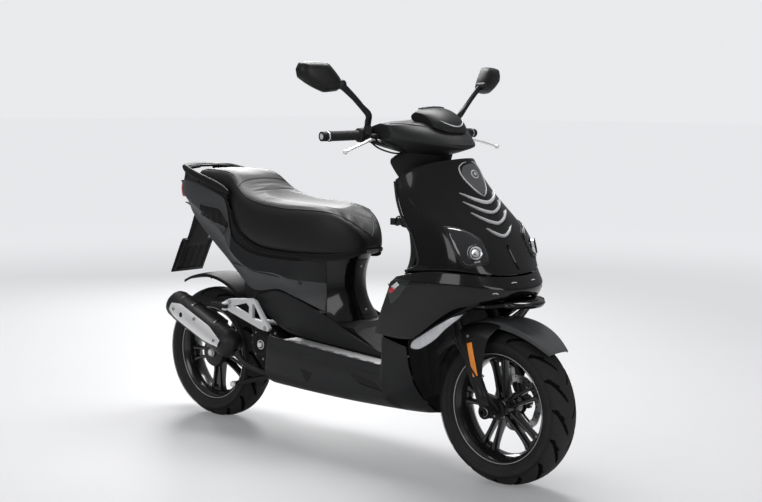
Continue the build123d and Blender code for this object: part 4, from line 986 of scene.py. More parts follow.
for side, tag in SIDES:
    tail_side(side, tag)
panel("tail_under_cap", [[(-786, y, 800), (-757, y, 792), (-700, y * 1.25, 772),
                          (-640, y * 1.4, 742)] for y in (-74, -40, 0, 40, 74)],
      "matte", away=(-700, 0, 900))
light = skin("tail_light_lens", [
    [(-798, y, 822), (-806 - 3 * (1 - (y / 80) ** 2), y, 850), (-800, y, 878), (-760, y, 878),
     (-758, y, 822)] for y in (-77, -70, -36, 0, 36, 70, 77)],
    "red", hard_rows=(0, 6), hard_cols=(0, 2))
mark(light, "tail_light")
for k, y in enumerate((-52, -26, 0, 26, 52)):
    block("tail_light_rib_%d" % k, (-806.6, y, 850), (2.4, 1.6, 44), "red", bevel=0.6)
strip("tail_light_bezel", [(-800, -79, 880), (-806, -40, 882), (-808, 0, 883), (-806, 40, 882),
                           (-800, 79, 880)], (-1, 0, 0.4), 6, 2.4, "matte", bevel=0.8)

# ------------------------------------------------------------------ grab rail and rack
RAIL = [(-458, -147, 858), (-500, -144, 874), (-560, -139, 890), (-610, -135, 902),
        (-660, -130, 914), (-704, -120, 924), (-740, -106, 932), (-768, -86, 937),
        (-790, -60, 941), (-800, -30, 943.5), (-802, 0, 944)]
# section of the bar, in half widths and half heights
RAIL_SECTION = ((-1, -0.35), (-0.75, -1), (0.75, -1), (1, -0.35), (1, 0.3), (0.55, 1),
                (-0.7, 1), (-1, 0.5))
path = spline(RAIL + sided(RAIL[-2::-1], -1), 4)
rail_rings = []
for i, spot in enumerate(path):
    ahead = Vector(heading(path, i)).normalized()
    across = ahead.cross(Vector((0, 0, 1))).normalized()
    up = across.cross(ahead)
    # the bar turns flat and wide across the rear, and thins at its two ends
    rear = max(0.0, min(1.0, (110 - abs(spot[1])) / 40)) if spot[0] < -700 else 0.0
    high = 14.0 - 7.5 * rear
    wide = 8.5 + 16.5 * rear
    thin = 0.55 + 0.45 * min(1.0, min(i, len(path) - 1 - i) / 4)
    centre = Vector(spot) + Vector((1, 0, 0)) * (17.0 * rear)
    rail_rings.append([tuple(centre + across * (a * wide * thin) + up * (b * high * thin - 2))
                       for a, b in RAIL_SECTION])
rail = skin("grab_rail_bar", rail_rings, "matte", hard_cols=(3, 4), hardness=0.4)
mark(rail, "grab_rail")
RACK_TOP = 942
RACK = [(-796, -40), (-788, -48), (-738, -48), (-730, -40), (-730, 40), (-738, 48), (-788, 48),
        (-796, 40)]
rack = solid("rack_plate", [(x, y, z) for z in (RACK_TOP - 8, RACK_TOP) for x, y in RACK],
             [tuple(range(8))[::-1], tuple(range(8, 16))]
             + [(j, (j + 1) % 8, 8 + (j + 1) % 8, 8 + j) for j in range(8)],
             "matte", "chassis", smooth=False)
mods(rack, bevel=2.0, seg=3, angle=25)
# rack holes are black discs, painted shade
for k, (x, y) in enumerate([(-776, -30), (-746, -30), (-776, 30), (-746, 30)]):
    lathe("rack_hole_%d" % k, [(0, 0.25), (3.3, 0.25), (3.4, 0.0)], "shade_seam_black", "chassis",
          (x, y, RACK_TOP), (0, 0, 1), seg=24)
    torus("rack_boss_%d" % k, (x, y, RACK_TOP), (0, 0, 1), 5.0, 1.2, "matte", seg=32)
# web closing the rail down to the tail: top (x, y, z) and bottom (y, z)
WEB = [((-462, -146, 852), (-149, 834)), ((-500, -143, 866), (-147, 844)),
       ((-560, -138, 882), (-140, 857)), ((-610, -134, 894), (-132, 868)),
       ((-660, -129, 906), (-125, 880)), ((-704, -119, 916), (-114, 883)),
       ((-740, -105, 924), (-103, 884)), ((-770, -84, 930), (-90, 884)),
       ((-790, -60, 934), (-78, 883))]
RAIL_FEET = [[(-470, -148, 840), (-464, -147, 857)], [(-640, -130, 886), (-636, -132, 906)],
             [(-744, -98, 896), (-744, -102, 928)]]
for side, tag in SIDES:
    rows = [[(x, y, z), (x, y * 0.5 + low_y * 0.5 - 1.5, (z + low_z) / 2), (x + 2, low_y, low_z)]
            for (x, y, z), (low_y, low_z) in WEB]
    panel("rail_web_" + tag, sided(rows, side), "matte", sub=2, away=(-600, 0, 880))
    for k, foot in enumerate(RAIL_FEET):
        tube(f"rail_foot_{k}_{tag}", sided(foot, side), 6.5, "matte", seg=18, straight=True)
    tube("rack_stay_" + tag, [(-734, 44 * side, 937), (-736, 74 * side, 934),
                              (-738, 102 * side, 930)], 6, "matte", seg=18)

# ------------------------------------------------------------------ number plate holder
holder = slab("number_plate_holder", [(-808, 648), (-803, 652), (-868, 530), (-874, 532),
                                      (-812, 652)], -76, 76, "matte", bevel=1.5)
neck = skin("plate_holder_neck", [
    [(-712, y * 1.25, 806), (-752, y * 1.25, 792), (-800, y, 690), (-826, y * 1.2, 634),
     (-814, y * 1.2, 630), (-780, y, 684), (-728, y * 1.2, 762)] for y in (-40, -35, 0, 35, 40)],
    "matte", hard_rows=(0, 4), hard_cols=(3, 4))
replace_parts(neck, "plate_holder")
PLATE_ACROSS = Vector((0, 1, 0))
PLATE_DOWN = Vector((-0.468, 0, -0.884))
PLATE_OUT = Vector((0.884, 0, -0.468))
for face_side in (1, -1):
    out = PLATE_OUT * face_side
    centre = Vector((-836, 0, 601)) + PLATE_OUT * (4.5 * face_side)
    corners = [centre + PLATE_ACROSS * a + PLATE_DOWN * b
               for a, b in ((-66, -64), (66, -64), (66, 66), (-66, 66))]
    for k in range(4):
        start, end = corners[k], corners[(k + 1) % 4]
        strip("plate_frame_%d_%d" % (k, face_side > 0), [start, (start + end) / 2, end], out, 8,
              3.2, "dark", steps=2, bevel=1.0)
    for k, a in enumerate((-30, 0, 30)):
        strip("plate_rib_%d_%d" % (k, face_side > 0),
              [centre + PLATE_ACROSS * a + PLATE_DOWN * b for b in (-60, 0, 62)], out, 4, 2.0,
              "matte", steps=2, bevel=0.6)
REFLECTOR_AT = (-812, 0, 655)
REFLECTOR_OUT = (-0.894427, 0, 0.447214)
torus("rear_reflector_ring", REFLECTOR_AT, REFLECTOR_OUT, 26, 2.2, "matte", seg=48)
lathe("rear_reflector", [(0, 3.4), (18, 2.8), (25, 0.6), (25, -4)], "red", "chassis",
      REFLECTOR_AT, REFLECTOR_OUT, seg=48)
strip("plate_lamp", [(-812, -24, 690), (-816, 0, 692), (-812, 24, 690)], REFLECTOR_OUT, 12, 9,
      "matte", bevel=2)

# ------------------------------------------------------------------ liners, undertray, footpegs
LINER_RISE = {-450: 44, -390: 25, -320: 15}     # extra height of the top edge, by tail x
# (x, top z, bottom z)
LOWER_LINER = ((-384, 560, 500), (-330, 560, 480), (-270, 570, 444), (-214, 570, 408),
               (-150, 560, 400))
# liners: black sheets closing the gaps, painted shade
for side, tag in SIDES:
    rows = [[(a[0], a[1] + 11, a[2] + LINER_RISE.get(a[0], 8 if a[0] > -440 else 0)),
             (b[0], b[1] + 9, b[2]), (c[0], c[1] + 9, c[2] - 4)] for a, b, c in TAIL[1:]]
    panel("side_liner_" + tag, sided(rows, side), "shade_seam_black", thick=2, sub=1, away=(-350, 0, 700))
    rows = [[(x, -138, top), (x, -139, (top + low) / 2), (x, -138, low)]
            for x, top, low in LOWER_LINER]
    panel("lower_liner_" + tag, sided(rows, side), "shade_seam_black", thick=2, sub=1, away=(-270, 0, 520))
# (x, half width, z)
UNDERTRAY = ((-752, 80, 800), (-720, 96, 788), (-660, 118, 756), (-584, 130, 708),
             (-508, 138, 660), (-440, 140, 618))
panel("tail_undertray", [[(x, y * w, z) for y in (-0.86, -0.5, -0.1, 0.15, 0.34)]
                         for x, w, z in UNDERTRAY],
      "matte", thick=2, sub=2, away=(-500, 0, 1200))
for side, tag in SIDES:
    for k in range(8):
        block(f"footpeg_rib_{k}_{tag}", (-498 + k * 8.6, -190 * side, 467.4), (4, 11, 2.2),
              "rubber", "footpeg_" + tag, bevel=0.8)
    for k, (x, z) in enumerate([(-236, 402), (-416, 474)]):
        bolt(f"bracket_bolt_{k}_{tag}", (x, -180.5 * side, z), (0, -side, 0), 6.5, 4)

# ------------------------------------------------------------------ seat
# stations forward along the seat: (x, half width, bottom z, top z)
SEAT = [(-714, 62, 884, 922), (-690, 92, 868, 930), (-650, 103, 855, 932),
        (-600, 110, 842, 933), (-560, 115, 828, 933), (-520, 120, 815, 932),
        (-488, 125, 797, 927), (-466, 130, 785, 917), (-450, 136, 765, 905),
        (-440, 142, 742, 895), (-410, 149, 708, 876), (-380, 154, 694, 862),
        (-340, 157, 675, 852), (-300, 158, 664, 845), (-250, 158, 659, 840),
        (-200, 158, 657, 836), (-150, 155, 656, 834), (-100, 148, 657, 832),
        (-60, 139, 658, 829), (-25, 129, 659, 824), (5, 117, 661, 816), (32, 103, 664, 804),
        (55, 90, 669, 788), (74, 76, 675, 768), (89, 62, 682, 748), (99, 48, 688, 730),
        (105, 34, 692, 716)]
SEAT_X, SEAT_W, SEAT_LOW, SEAT_TOP = np.array(SEAT, float).T
SEAM_Y = 0.845          # top edge seam, as a share of the half width
CLOTH_FRAMES = 20
BULGE_LIMIT = 9.0       # the furthest the cover may blow out


def seat_section(x, wide, low, top):
    sag = max(0.0, min(1.0, (x + 430) / 120)) * max(0.0, min(1.0, (60 - x) / 140))
    dish = 20 * sag + 3
    high = top - low
    half = [(0, low), (0.55 * wide, low), (0.86 * wide, low + 0.01 * high),
            (0.97 * wide, low + 0.12 * high), (1.0 * wide, low + 0.36 * high),
            (0.99 * wide, low + 0.60 * high), (0.95 * wide, low + 0.80 * high),
            (0.86 * wide, low + 0.93 * high), (0.72 * wide, top - 0.004 * high),
            (0.5 * wide, top - dish * 0.35), (0.26 * wide, top - dish * 0.85), (0, top - dish)]
    return [(x, -a, b) for a, b in half] + [(x, a, b) for a, b in half[-2:0:-1]]


def seat_block():
    edit = bmesh.new()
    rings = [[edit.verts.new(tuple(c * MM for c in p)) for p in seat_section(*station)]
             for station in SEAT]
    count = len(rings[0])
    for a, b in zip(rings, rings[1:]):
        for j in range(count):
            edit.faces.new((a[j], a[(j + 1) % count], b[(j + 1) % count], b[j]))
    edit.faces.new(rings[0][::-1])
    edit.faces.new(rings[-1])
    bmesh.ops.recalc_face_normals(edit, faces=edit.faces)
    mesh = bpy.data.meshes.new("seat_cover_soft")
    edit.to_mesh(mesh)
    edit.free()
    piece = bpy.data.objects.new("seat_cover_soft", mesh)
    bpy.context.scene.collection.objects.link(piece)
    return piece


def bake(piece, *added):
    """Add the modifiers given as (kind, settings), then apply all the piece has."""
    for kind, settings in added:
        mod = piece.modifiers.new("bake", kind)
        for name, value in settings.items():
            setattr(mod, name, value)
    done = piece.evaluated_get(bpy.context.evaluated_depsgraph_get())
    mesh = bpy.data.meshes.new_from_object(done)
    piece.modifiers.clear()
    piece.data = mesh


def crest_x(y):
    """Fore-aft place of the step between rider and pillion parts across the seat."""
    return -452 + 26 * (abs(y) / 140) ** 2


def seam_points(side):
    """Top edge seam along one side."""
    return [(x, -side * SEAM_Y * wide, low + 0.935 * (top - low))
            for x, wide, low, top in SEAT if -700 < x < 100]


def vert_points(piece):
    return np.array([v.co for v in piece.data.vertices]).reshape(-1, 3) / MM


def pinned(rest):
    """Vertices held by the base, the two top seams and the step."""
    x, y, z = rest.T
    wide = np.interp(x, SEAT_X, SEAT_W)
    low = np.interp(x, SEAT_X, SEAT_LOW)
    high = np.interp(x, SEAT_X, SEAT_TOP) - low
    seam = (np.abs(np.abs(y) - SEAM_Y * wide) < 5.0) & (z > low + 0.82 * high) & (x < 96)
    crest = (np.abs(x - crest_x(y)) < 4.5) & (z > low + 0.3 * high)
    return [int(i) for i in np.where((z < low + 10) | seam | crest)[0]]


def blow_up(piece, rest):
    """Inflate the cover as cloth between its pinned lines."""
    piece.vertex_groups.new(name="pin").add(pinned(rest), 1.0, "REPLACE")
    cloth = piece.modifiers.new("cloth", "CLOTH")
    for name, value in dict(
            quality=6, mass=0.3, tension_stiffness=14, compression_stiffness=14,
            shear_stiffness=6, bending_stiffness=1.2, use_pressure=True,
            uniform_pressure_force=4.0, vertex_group_mass="pin").items():
        setattr(cloth.settings, name, value)
    cloth.settings.effector_weights.gravity = 0.0
    cloth.collision_settings.use_collision = False
    cloth.point_cache.frame_start = 1
    cloth.point_cache.frame_end = CLOTH_FRAMES
    scene = bpy.context.scene
    for f in range(1, CLOTH_FRAMES + 1):
        scene.frame_set(f)
        bpy.context.view_layer.update()
    bake(piece)
    scene.frame_set(1)
    moved = vert_points(piece) - rest
    length = np.linalg.norm(moved, axis=1)
    limit = np.minimum(1.0, BULGE_LIMIT / np.maximum(length, 1e-9))
    for vert, point in zip(piece.data.vertices, rest + moved * limit[:, None]):
        vert.co = tuple(point * MM)
    piece.vertex_groups.clear()


seat = seat_block()
bake(seat, ("SUBSURF", dict(levels=2)))
bake(seat, ("REMESH", dict(mode="VOXEL", voxel_size=0.0055)))
bake(seat, ("SMOOTH", dict(iterations=3, factor=0.5)))
blow_up(seat, vert_points(seat))
bake(seat, ("SMOOTH", dict(iterations=4, factor=0.5)), ("SUBSURF", dict(levels=1)))
seat.data.polygons.foreach_set("use_smooth", [True] * len(seat.data.polygons))
seat.data.materials.append(M["vinyl"])
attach(seat, "seat")
mark(seat, "seat_cover")
seat_surface = Surface(seat)

# piping along the side seams and across the step
for side, tag in SIDES:
    line = []
    for x, y, z in seam_points(side):
        spot, normal = seat_surface.hit((x, y * 1.6, z + 60), (0, side * 0.75, -0.66))
        line.append(tuple(spot + normal * 0.4))
    tube("seat_piping_" + tag, line, 1.7, "vinyl", "seat", steps=6, seg=10)
line = []
for y in np.linspace(-118, 118, 21):
    spot, normal = seat_surface.hit((crest_x(y), y, 1000), (0, 0, -1))
    line.append(tuple(spot + normal * 0.2))
tube("seat_crest_piping", line, 1.7, "vinyl", "seat", steps=4, seg=10)


def stitches(side, tag):
    """Row of short stitches just inside the piping."""
    hits = [seat_surface.hit((p[0], p[1] * 0.93, 1010), (0, 0, -1))
            for p in spline(seam_points(side), 6)]
    verts, faces = [], []
    for i in range(0, len(hits) - 1, 2):
        start = hits[i][0] + hits[i][1] * 0.5
        end = hits[i + 1][0] + hits[i + 1][1] * 0.5
        if (end - start).length > 12:
            end = start + (end - start).normalized() * 5
        across = (end - start).normalized().cross(hits[i][1]).normalized() * 0.55
        middle = (start + end) / 2 + hits[i][1] * 0.5
        first = len(verts)
        verts += [tuple(start + across), tuple(start - across), tuple(middle - across),
                  tuple(middle + across), tuple(end - across), tuple(end + across)]
        faces += [(first, first + 1, first + 2, first + 3),
                  (first + 3, first + 2, first + 4, first + 5)]
    mods(solid("seat_stitch_" + tag, verts, faces, "satin", "seat"), solid=0.5)


for side, tag in SIDES:
    stitches(side, tag)
# gasket closing the gap under the cushion, black as painted shade
for side, tag in SIDES:
    rows = [[(x, -side * wide * 0.93, low + 12), (x, -side * wide * 0.95, low),
             (x, -side * wide * 0.93, low - 13)] for x, wide, low, _ in SEAT]
    panel("seat_gasket_" + tag, rows, "shade_seam_black", "seat", sub=1, away=(-200, 0, 650))
underside = panel("seat_underside", [[(x, y * wide * 0.93, low - 3) for y in (-1, -0.5, 0, 0.5, 1)]
                                     for x, wide, low, _ in SEAT],
                  "matte", "seat", thick=4, sub=1, away=(-200, 0, 900))
mark(underside, "seat_base")
for k, x in enumerate((-560, -400, -250, -100)):
    z = float(np.interp(x, SEAT_X, SEAT_LOW)) - 6
    y = float(np.interp(x, SEAT_X, SEAT_W)) * 0.8
    tube("seat_base_rib_%d" % k, [(x, -y, z), (x, 0, z), (x, y, z)], 3.5, "matte", "seat", seg=10)
tube("seat_latch", [(-545, -14, 818), (-545, -14, 800), (-545, 14, 800), (-545, 14, 818)], 3.5,
     "steel", "seat", seg=12, straight=True)
for side, tag in SIDES:
    tube("seat_rim_" + tag, [(x, -side * (wide * 0.965), low + 2) for x, wide, low, _ in SEAT[:-1]],
         3.6, "matte", "seat", steps=3, seg=12)

# ------------------------------------------------------------------ wheels
# tyre side wall, bead to shoulder: (radius, y)
SIDEWALL = [(166, -43.5), (170, -46.5), (174, -46), (177, -52), (183, -58), (192, -62.6),
            (203, -64), (213, -63.2)]
GROOVE_PITCHES = 15
GROOVE_DEPTH = 5.6
# (start and end distance from the middle, sweep in radians, phase in pitches, half width)
GROOVES = ((2.0, 52.0, 0.36, 0.0, 4.4), (22.0, 58.0, 0.15, 0.5, 3.4))


def groove_depths(angles, y):
    """Depth of the swept grooves on each side of the tread."""
    depth = np.zeros(y.shape)
    out = np.abs(y)
    pitch = 2 * np.pi / GROOVE_PITCHES
    for side in (1, -1):
        chosen = y > 0 if side > 0 else y <= 0
        for start, end, sweep, phase, half in GROOVES:
            share = np.clip((out - start) / (end - start), 0, 1)
            lag = sweep * share ** 1.35
            slope = (TYRE_R * sweep * 1.35 * np.maximum(share, 1e-3) ** 0.35 / (end - start))
            base = (angles - lag - (0.5 if side < 0 else 0) * pitch - phase * pitch) / pitch
            away = np.abs(base - np.round(base)) * pitch * 240 / np.sqrt(1 + slope ** 2)
            taper = np.clip(np.minimum((out - start) / 10.0, (end - out) / 6.0), 0, 1) ** 0.7
            cut = np.clip((half * (0.45 + 0.55 * taper) - away) / 1.3 + 0.5, 0, 1) * taper
            depth = np.maximum(depth, np.where(chosen, cut * GROOVE_DEPTH, 0))
    return depth


def tyre(name, axle_x, body):
    fine = 2
    steps = 560 * fine
    crown = [(TYRE_R - 0.0035 * y ** 2 - 0.0000016 * y ** 4, y)
             for y in np.linspace(-60, 60, 33 * fine + 1)]
    profile = np.array(SIDEWALL + crown + [(r, -y) for r, y in SIDEWALL[::-1]])
    count = len(profile)
    angles = np.linspace(0, 2 * np.pi, steps, endpoint=False)[:, None]
    y = np.repeat(profile[None, :, 1], steps, 0)
    depth = groove_depths(angles, y)
    depth[:, :len(SIDEWALL)] = 0
    depth[:, -len(SIDEWALL):] = 0
    radius = profile[None, :, 0] - depth
    verts = np.stack([axle_x + radius * np.cos(angles), y, TYRE_R + radius * np.sin(angles)], -1)
    mesh = mesh_mm(name, verts.reshape(-1, 3).tolist(),
                   ring_faces(steps, count, loop=True, open_ring=True))
    with edited(mesh) as edit:
        bmesh.ops.recalc_face_normals(edit, faces=edit.faces)
    # the outer side of the open skin must face outward
    if sum(Vector((f.center.x - axle_x * MM, 0, f.center.z - TYRE_R * MM)).dot(f.normal)
           for f in mesh.polygons[:4000]) < 0:
        mesh.flip_normals()
    piece = add(name, mesh, "tyre", body)
    # faces deep in the grooves get the near-black groove material, which is painted shade
    mesh.materials.append(M["tyre_groove"])
    ahead = np.roll(depth, -1, 0)
    deep = (depth[:, :-1] + depth[:, 1:] + ahead[:, :-1] + ahead[:, 1:]).reshape(-1) / 4 > 2.2
    mesh.polygons.foreach_set("material_index", deep.astype(np.int32).tolist())
    # raised rings on the side walls
    for way in (1, -1):
        for ring_r, ring_y, thick in ((190, 62.4, 0.9), (216, 62.4, 0.8), (176.5, 51.6, 1.0)):
            torus("%s_ring_%d_%d" % (name, ring_r, way > 0), (axle_x, way * ring_y, TYRE_R),
                  (0, 1, 0), ring_r, thick, "tyre", body, seg=140, ring=6)
    return piece


# half profiles of the rim's outer and inner skins, and its bottom: (radius, y)
RIM_OUTER = [(171.5, 48), (173.4, 47.2), (173.4, 44), (168, 41), (163, 36), (158, 28), (154, 18)]
RIM_INNER = [(166.5, 43.5), (160, 38.5), (155, 30), (150, 20), (148, 12)]
# spoke stations: (radius, offset from the pair's middle, half width, half depth in y)
SPOKE = ((24, 9.5, 8.5, 24), (36, 10.5, 7.2, 22), (60, 12.5, 6.2, 18), (95, 15.5, 6.4, 14.5),
         (125, 18.5, 7.6, 13.5), (142, 21, 9.6, 15), (151, 23, 13.5, 19))
SPOKE_SECTION = ((-1, -0.55), (-0.62, -1), (0.62, -1), (1, -0.55), (1, 0.55), (0.62, 1),
                 (-0.62, 1), (-1, 0.55))


def spoke_pair(name, k, centre, angle, body):
    """Two spokes with a web between them near the hub and at the rim."""
    out = Vector((math.cos(angle), 0, math.sin(angle)))
    across = Vector((-math.sin(angle), 0, math.cos(angle)))
    for way, letter in ((-1, "a"), (1, "b")):
        rings = []
        for radius, offset, wide, deep in SPOKE:
            middle = centre + out * radius + across * (offset * way)
            rings.append([tuple(middle + across * (a * wide) + Vector((0, 1, 0)) * (b * deep))
                          for a, b in SPOKE_SECTION])
        skin(f"{name}_spoke_{k}_{letter}", rings, "wheel", body, hard_cols=(1, 2, 5, 6),
             hardness=0.5)
    for radius, reach in ((40, 13), (146, 9)):
        rings = []
        for i, (wide, deep) in enumerate(((10, 12), (12, 15), (12, 15), (10, 12))):
            middle = centre + out * radius + out * (-reach + 2 * reach * i / 3)
            rings.append([tuple(middle + across * (a * wide) + Vector((0, b * deep, 0)))
                          for a, b in ((-1, -1), (1, -1), (1, 1), (-1, 1))])
        skin(f"{name}_web_{k}_{radius}", rings, "wheel", body, hard_cols=(0, 1, 2, 3),
             hardness=0.7)


def wheel(name, axle_x, hub_left, first_spoke):
    """Tyre, rim, hub from y = -40 to hub_left, five spoke pairs and a valve."""
    body = name + "_wheel"
    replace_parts(tyre(name + "_tyre_skin", axle_x, body), name + "_tyre")
    centre = (axle_x, 0, TYRE_R)
    profile = ([(r, -y) for r, y in RIM_OUTER] + [(152.5, 0)] + RIM_OUTER[::-1] + RIM_INNER
               + [(147.2, 0)] + [(r, -y) for r, y in RIM_INNER[::-1]])
    rim = lathe(name + "_rim", profile, "wheel", body, centre, seg=144, closed=True)
    mark(rim, name + "_rim")
    # bright silver rings at the rim edges, a painted highlight on the rim lip
    for way, letter in ((1, "l"), (-1, "r")):
        torus(name + "_rim_highlight_ring_" + letter, (axle_x, 48.1 * way, TYRE_R), (0, 1, 0), 171.0,
              1.2, "silver", body, seg=160, ring=8)
    hub_right = -40
    hub = [(10.5, hub_right), (26, hub_right), (30, hub_right + 3), (32, hub_right + 12),
           (33.5, -12), (33.5, 12), (32, hub_left - 12), (30, hub_left - 3), (26, hub_left),
           (10.5, hub_left)]
    lathe(name + "_hub", hub, "wheel", body, centre, seg=64, closed=True)
    bearing = [(9, hub_right - 0.4), (22, hub_right - 0.4), (22, hub_right + 1.5),
               (9, hub_right + 1.5)]
    lathe(name + "_bearing", bearing, "steel", body, centre, seg=40, closed=True)
    for k in range(5):
        spoke_pair(name, k, Vector(centre), math.pi / 2 + 2 * math.pi * k / 5 + first_spoke, body)
    valve = math.pi / 2 + 0.9
    tube(name + "_valve", [around(axle_x, TYRE_R, 147, valve, 6),
                           around(axle_x, TYRE_R, 124, valve, 10)],
         3.4, "steel", body, seg=12, straight=True)


wheel("front", FRONT_X, hub_left=54, first_spoke=0.2)
wheel("rear", REAR_X, hub_left=60, first_spoke=0.5)

# front brake disc: wavy ring, holes, arms and carrier
DISC_Y = 60
DISC_STEPS, DISC_WAVES = 240, 10
verts = []
for a in turn(DISC_STEPS):
    outer = 92 - 1.8 * (0.5 - 0.5 * math.cos(DISC_WAVES * a))
    bore = 66 + 1.8 * (0.5 + 0.5 * math.cos(DISC_WAVES * a))
    verts += [around(FRONT_X, TYRE_R, radius, a, y) for radius, y in (
        (bore, DISC_Y - 2), (outer, DISC_Y - 2), (outer, DISC_Y + 2), (bore, DISC_Y + 2))]
disc = solid("front_disc_ring", verts, ring_faces(DISC_STEPS, 4, loop=True), "disc",
             "front_wheel", smooth=False)
mods(disc, bevel=0.4, seg=1, angle=40)
mark(disc, "front_disc")
# holes are black cylinders, painted shade
for i, a in enumerate(turn(30)):
    lathe("front_disc_hole_%d" % i, [(0, -2.15), (2.7, -2.15), (2.7, 2.15), (0, 2.15)], "shade_seam_black",
          "front_wheel", around(FRONT_X, TYRE_R, 74 + 5.5 * (i % 3), a, DISC_Y), seg=12)
for i, a in enumerate(turn(5)):
    a += 0.3
    arm = [around(FRONT_X, TYRE_R, radius, a + lag, DISC_Y)
           for radius, lag in ((28, 0), (46, 0.04), (70, 0.12))]
    tube("front_disc_arm_%d" % i, arm, 6, "dmetal", "front_wheel", seg=12, flat=(1.0, 0.34))
    bolt("front_disc_bolt_%d" % i, around(FRONT_X, TYRE_R, 26, a + 0.5, DISC_Y), (0, 1, 0), 4,
         3.4, "front_wheel")
lathe("front_disc_carrier", [(18, 55), (34, 55), (36, 58), (36, 61), (33, 62.5), (18, 62.5)],
      "dmetal", "front_wheel", (FRONT_X, 0, TYRE_R), seg=60, closed=True)
lathe("rear_drum", [(14, -46), (44, -46), (52, -43), (55, -38), (55, -22), (14, -22)], "dmetal",
      "rear_wheel", (REAR_X, 0, TYRE_R), seg=72, closed=True)

# ------------------------------------------------------------------ fork
FORK_AXIS = (-RAKE_SIN, 0, RAKE_COS)
FORK_LEG = [(0, -22), (12, -21), (17, -16), (19.2, -8), (19.4, 30), (19.2, 36), (20.4, 40),
            (20.4, 60), (19.2, 64), (19.2, 236), (20.6, 240), (20.6, 250), (17, 252.5),
            (15.4, 252.5)]
for side, tag in SIDES:
    y = -95 * side
    foot = (FRONT_X, y, TYRE_R)
    outward = (0, -side, 0)
    lathe("fork_leg_skin_" + tag, FORK_LEG, "dark", "fork_lower", foot, FORK_AXIS, seg=48)
    lathe("fork_dust_seal_" + tag,
          [(15.3, 250), (19.6, 250.5), (19.8, 256), (18, 260), (15.5, 261)], "rubber",
          "fork_lower", foot, FORK_AXIS, seg=40)
    lathe("axle_nut_" + tag, [(0, 9), (6, 9), (7, 8), (7.4, 0), (0, 0)], "bright", "fork_lower",
          (FRONT_X, y - 19 * side, TYRE_R), outward, seg=30)
    bolt("axle_hex_" + tag, (FRONT_X, y - 16.5 * side, TYRE_R), outward, 13, 6.5, "fork_lower",
         "bright")
    torus("axle_washer_" + tag, (FRONT_X, y - 17.5 * side, TYRE_R), (0, 1, 0), 13.5, 1.6,
          "steel", "fork_lower", seg=40)
    block("axle_pinch_" + tag, (FRONT_X + 17, y, TYRE_R - 10), (14, 22, 16), "dark",
          "fork_lower", bevel=3)
    bolt("axle_pinch_bolt_" + tag, (FRONT_X + 24, y, TYRE_R - 10), (1, 0, 0), 4, 4, "fork_lower")

# ------------------------------------------------------------------ front mudguard
rows = []
for k in range(13):
    angle = math.radians(44.5 + (146 - 44.5) * k / 12)
    back = k / 12
    wide = 71.5 * (1 - 0.34 * max(0.0, 1 - back / 0.30) ** 2.2)    # narrow at the front tip
    row = []
    for g in (-1, -0.96, -0.7, -0.35, 0, 0.35, 0.7, 0.96, 1):
        lip = (9 + 12 * min(1, 3 * back)) if abs(g) == 1 else 2.0 * (abs(g) > 0.9)
        radius = 280.5 - 3.0 * abs(g) ** 2 - lip + (0.8 if g == 0 else 0)
        row.append(around(FRONT_X, TYRE_R, radius, angle, wide * g))
    rows.append(row)
# the mudguard hood takes the lighter grey, a painted highlight on its top
hood = panel("front_mudguard_hood", rows, "satin_highlight", "fork_lower", thick=2.6, sub=2,
             hard_cols=(1, 4, 7), hardness=0.5, away=(FRONT_X, 0, TYRE_R))
mark(hood, "front_mudguard")
rows = [[around(FRONT_X, TYRE_R, 256 - 4.0 * abs(g) ** 2 - (4 if abs(g) == 1 else 0),
                math.radians(136 + 20 * k / 6), (64 - 8 * k / 6) * g)
         for g in (-1, -0.9, -0.4, 0, 0.4, 0.9, 1)] for k in range(7)]
panel("front_mudguard_flap", rows, "matte", "fork_lower", thick=2.4, sub=2,
      away=(FRONT_X, 0, TYRE_R))
MUDGUARD_SIDE = [  # rows run down to the axle
    [(560, -60, 494), (600, -62, 507), (650, -62, 516), (700, -60, 513)],
    [(554, -88, 494), (598, -92, 506), (650, -92, 512), (692, -86, 500)],
    [(556, -108, 478), (596, -113, 486), (640, -113, 484), (676, -106, 470)],
    [(574, -114, 436), (600, -116, 438), (640, -116, 430), (664, -113, 424)],
    [(596, -114, 384), (612, -116, 382), (646, -116, 374), (662, -114, 368)],
    [(616, -113, 330), (626, -114, 326), (646, -114, 320), (656, -112, 316)],
    [(630, -108, 296), (634, -108, 293), (642, -108, 290), (648, -107, 288)]]
AMBER_CENTRE = (627, 401)
AMBER = [(604, 448), (622, 454), (648, 354), (630, 347)]
AMBER_RIM = [(AMBER_CENTRE[0] + (x - AMBER_CENTRE[0]) * 1.12,
              AMBER_CENTRE[1] + (z - AMBER_CENTRE[1]) * 1.04) for x, z in AMBER]
for side, tag in SIDES:
    guard = panel("mudguard_side_" + tag, sided(MUDGUARD_SIDE, side), "dark", "fork_lower",
                  thick=2.6, hard_rows=(2,), hardness=0.45, away=(620, 0, 430))
    surface = Surface(guard)
    side_decal("fork_reflector_rim_" + tag, surface, side, AMBER_CENTRE, AMBER_RIM, "matte",
               "fork_lower", lift=1.6, thick=2.6, step=16, bevel=0.7)
    # the reflector takes the amber material with its painted glow
    side_decal("fork_reflector_" + tag, surface, side, AMBER_CENTRE, AMBER, "amber",
               "fork_lower", lift=3.4, thick=2.6, step=16, bevel=1.0)
    spot, normal = surface.hit((604, -200 * side, 470), (0, side, 0))
    bolt("mudguard_bolt_0_" + tag, spot, normal, 4.5, 3, "fork_lower", seg=24)

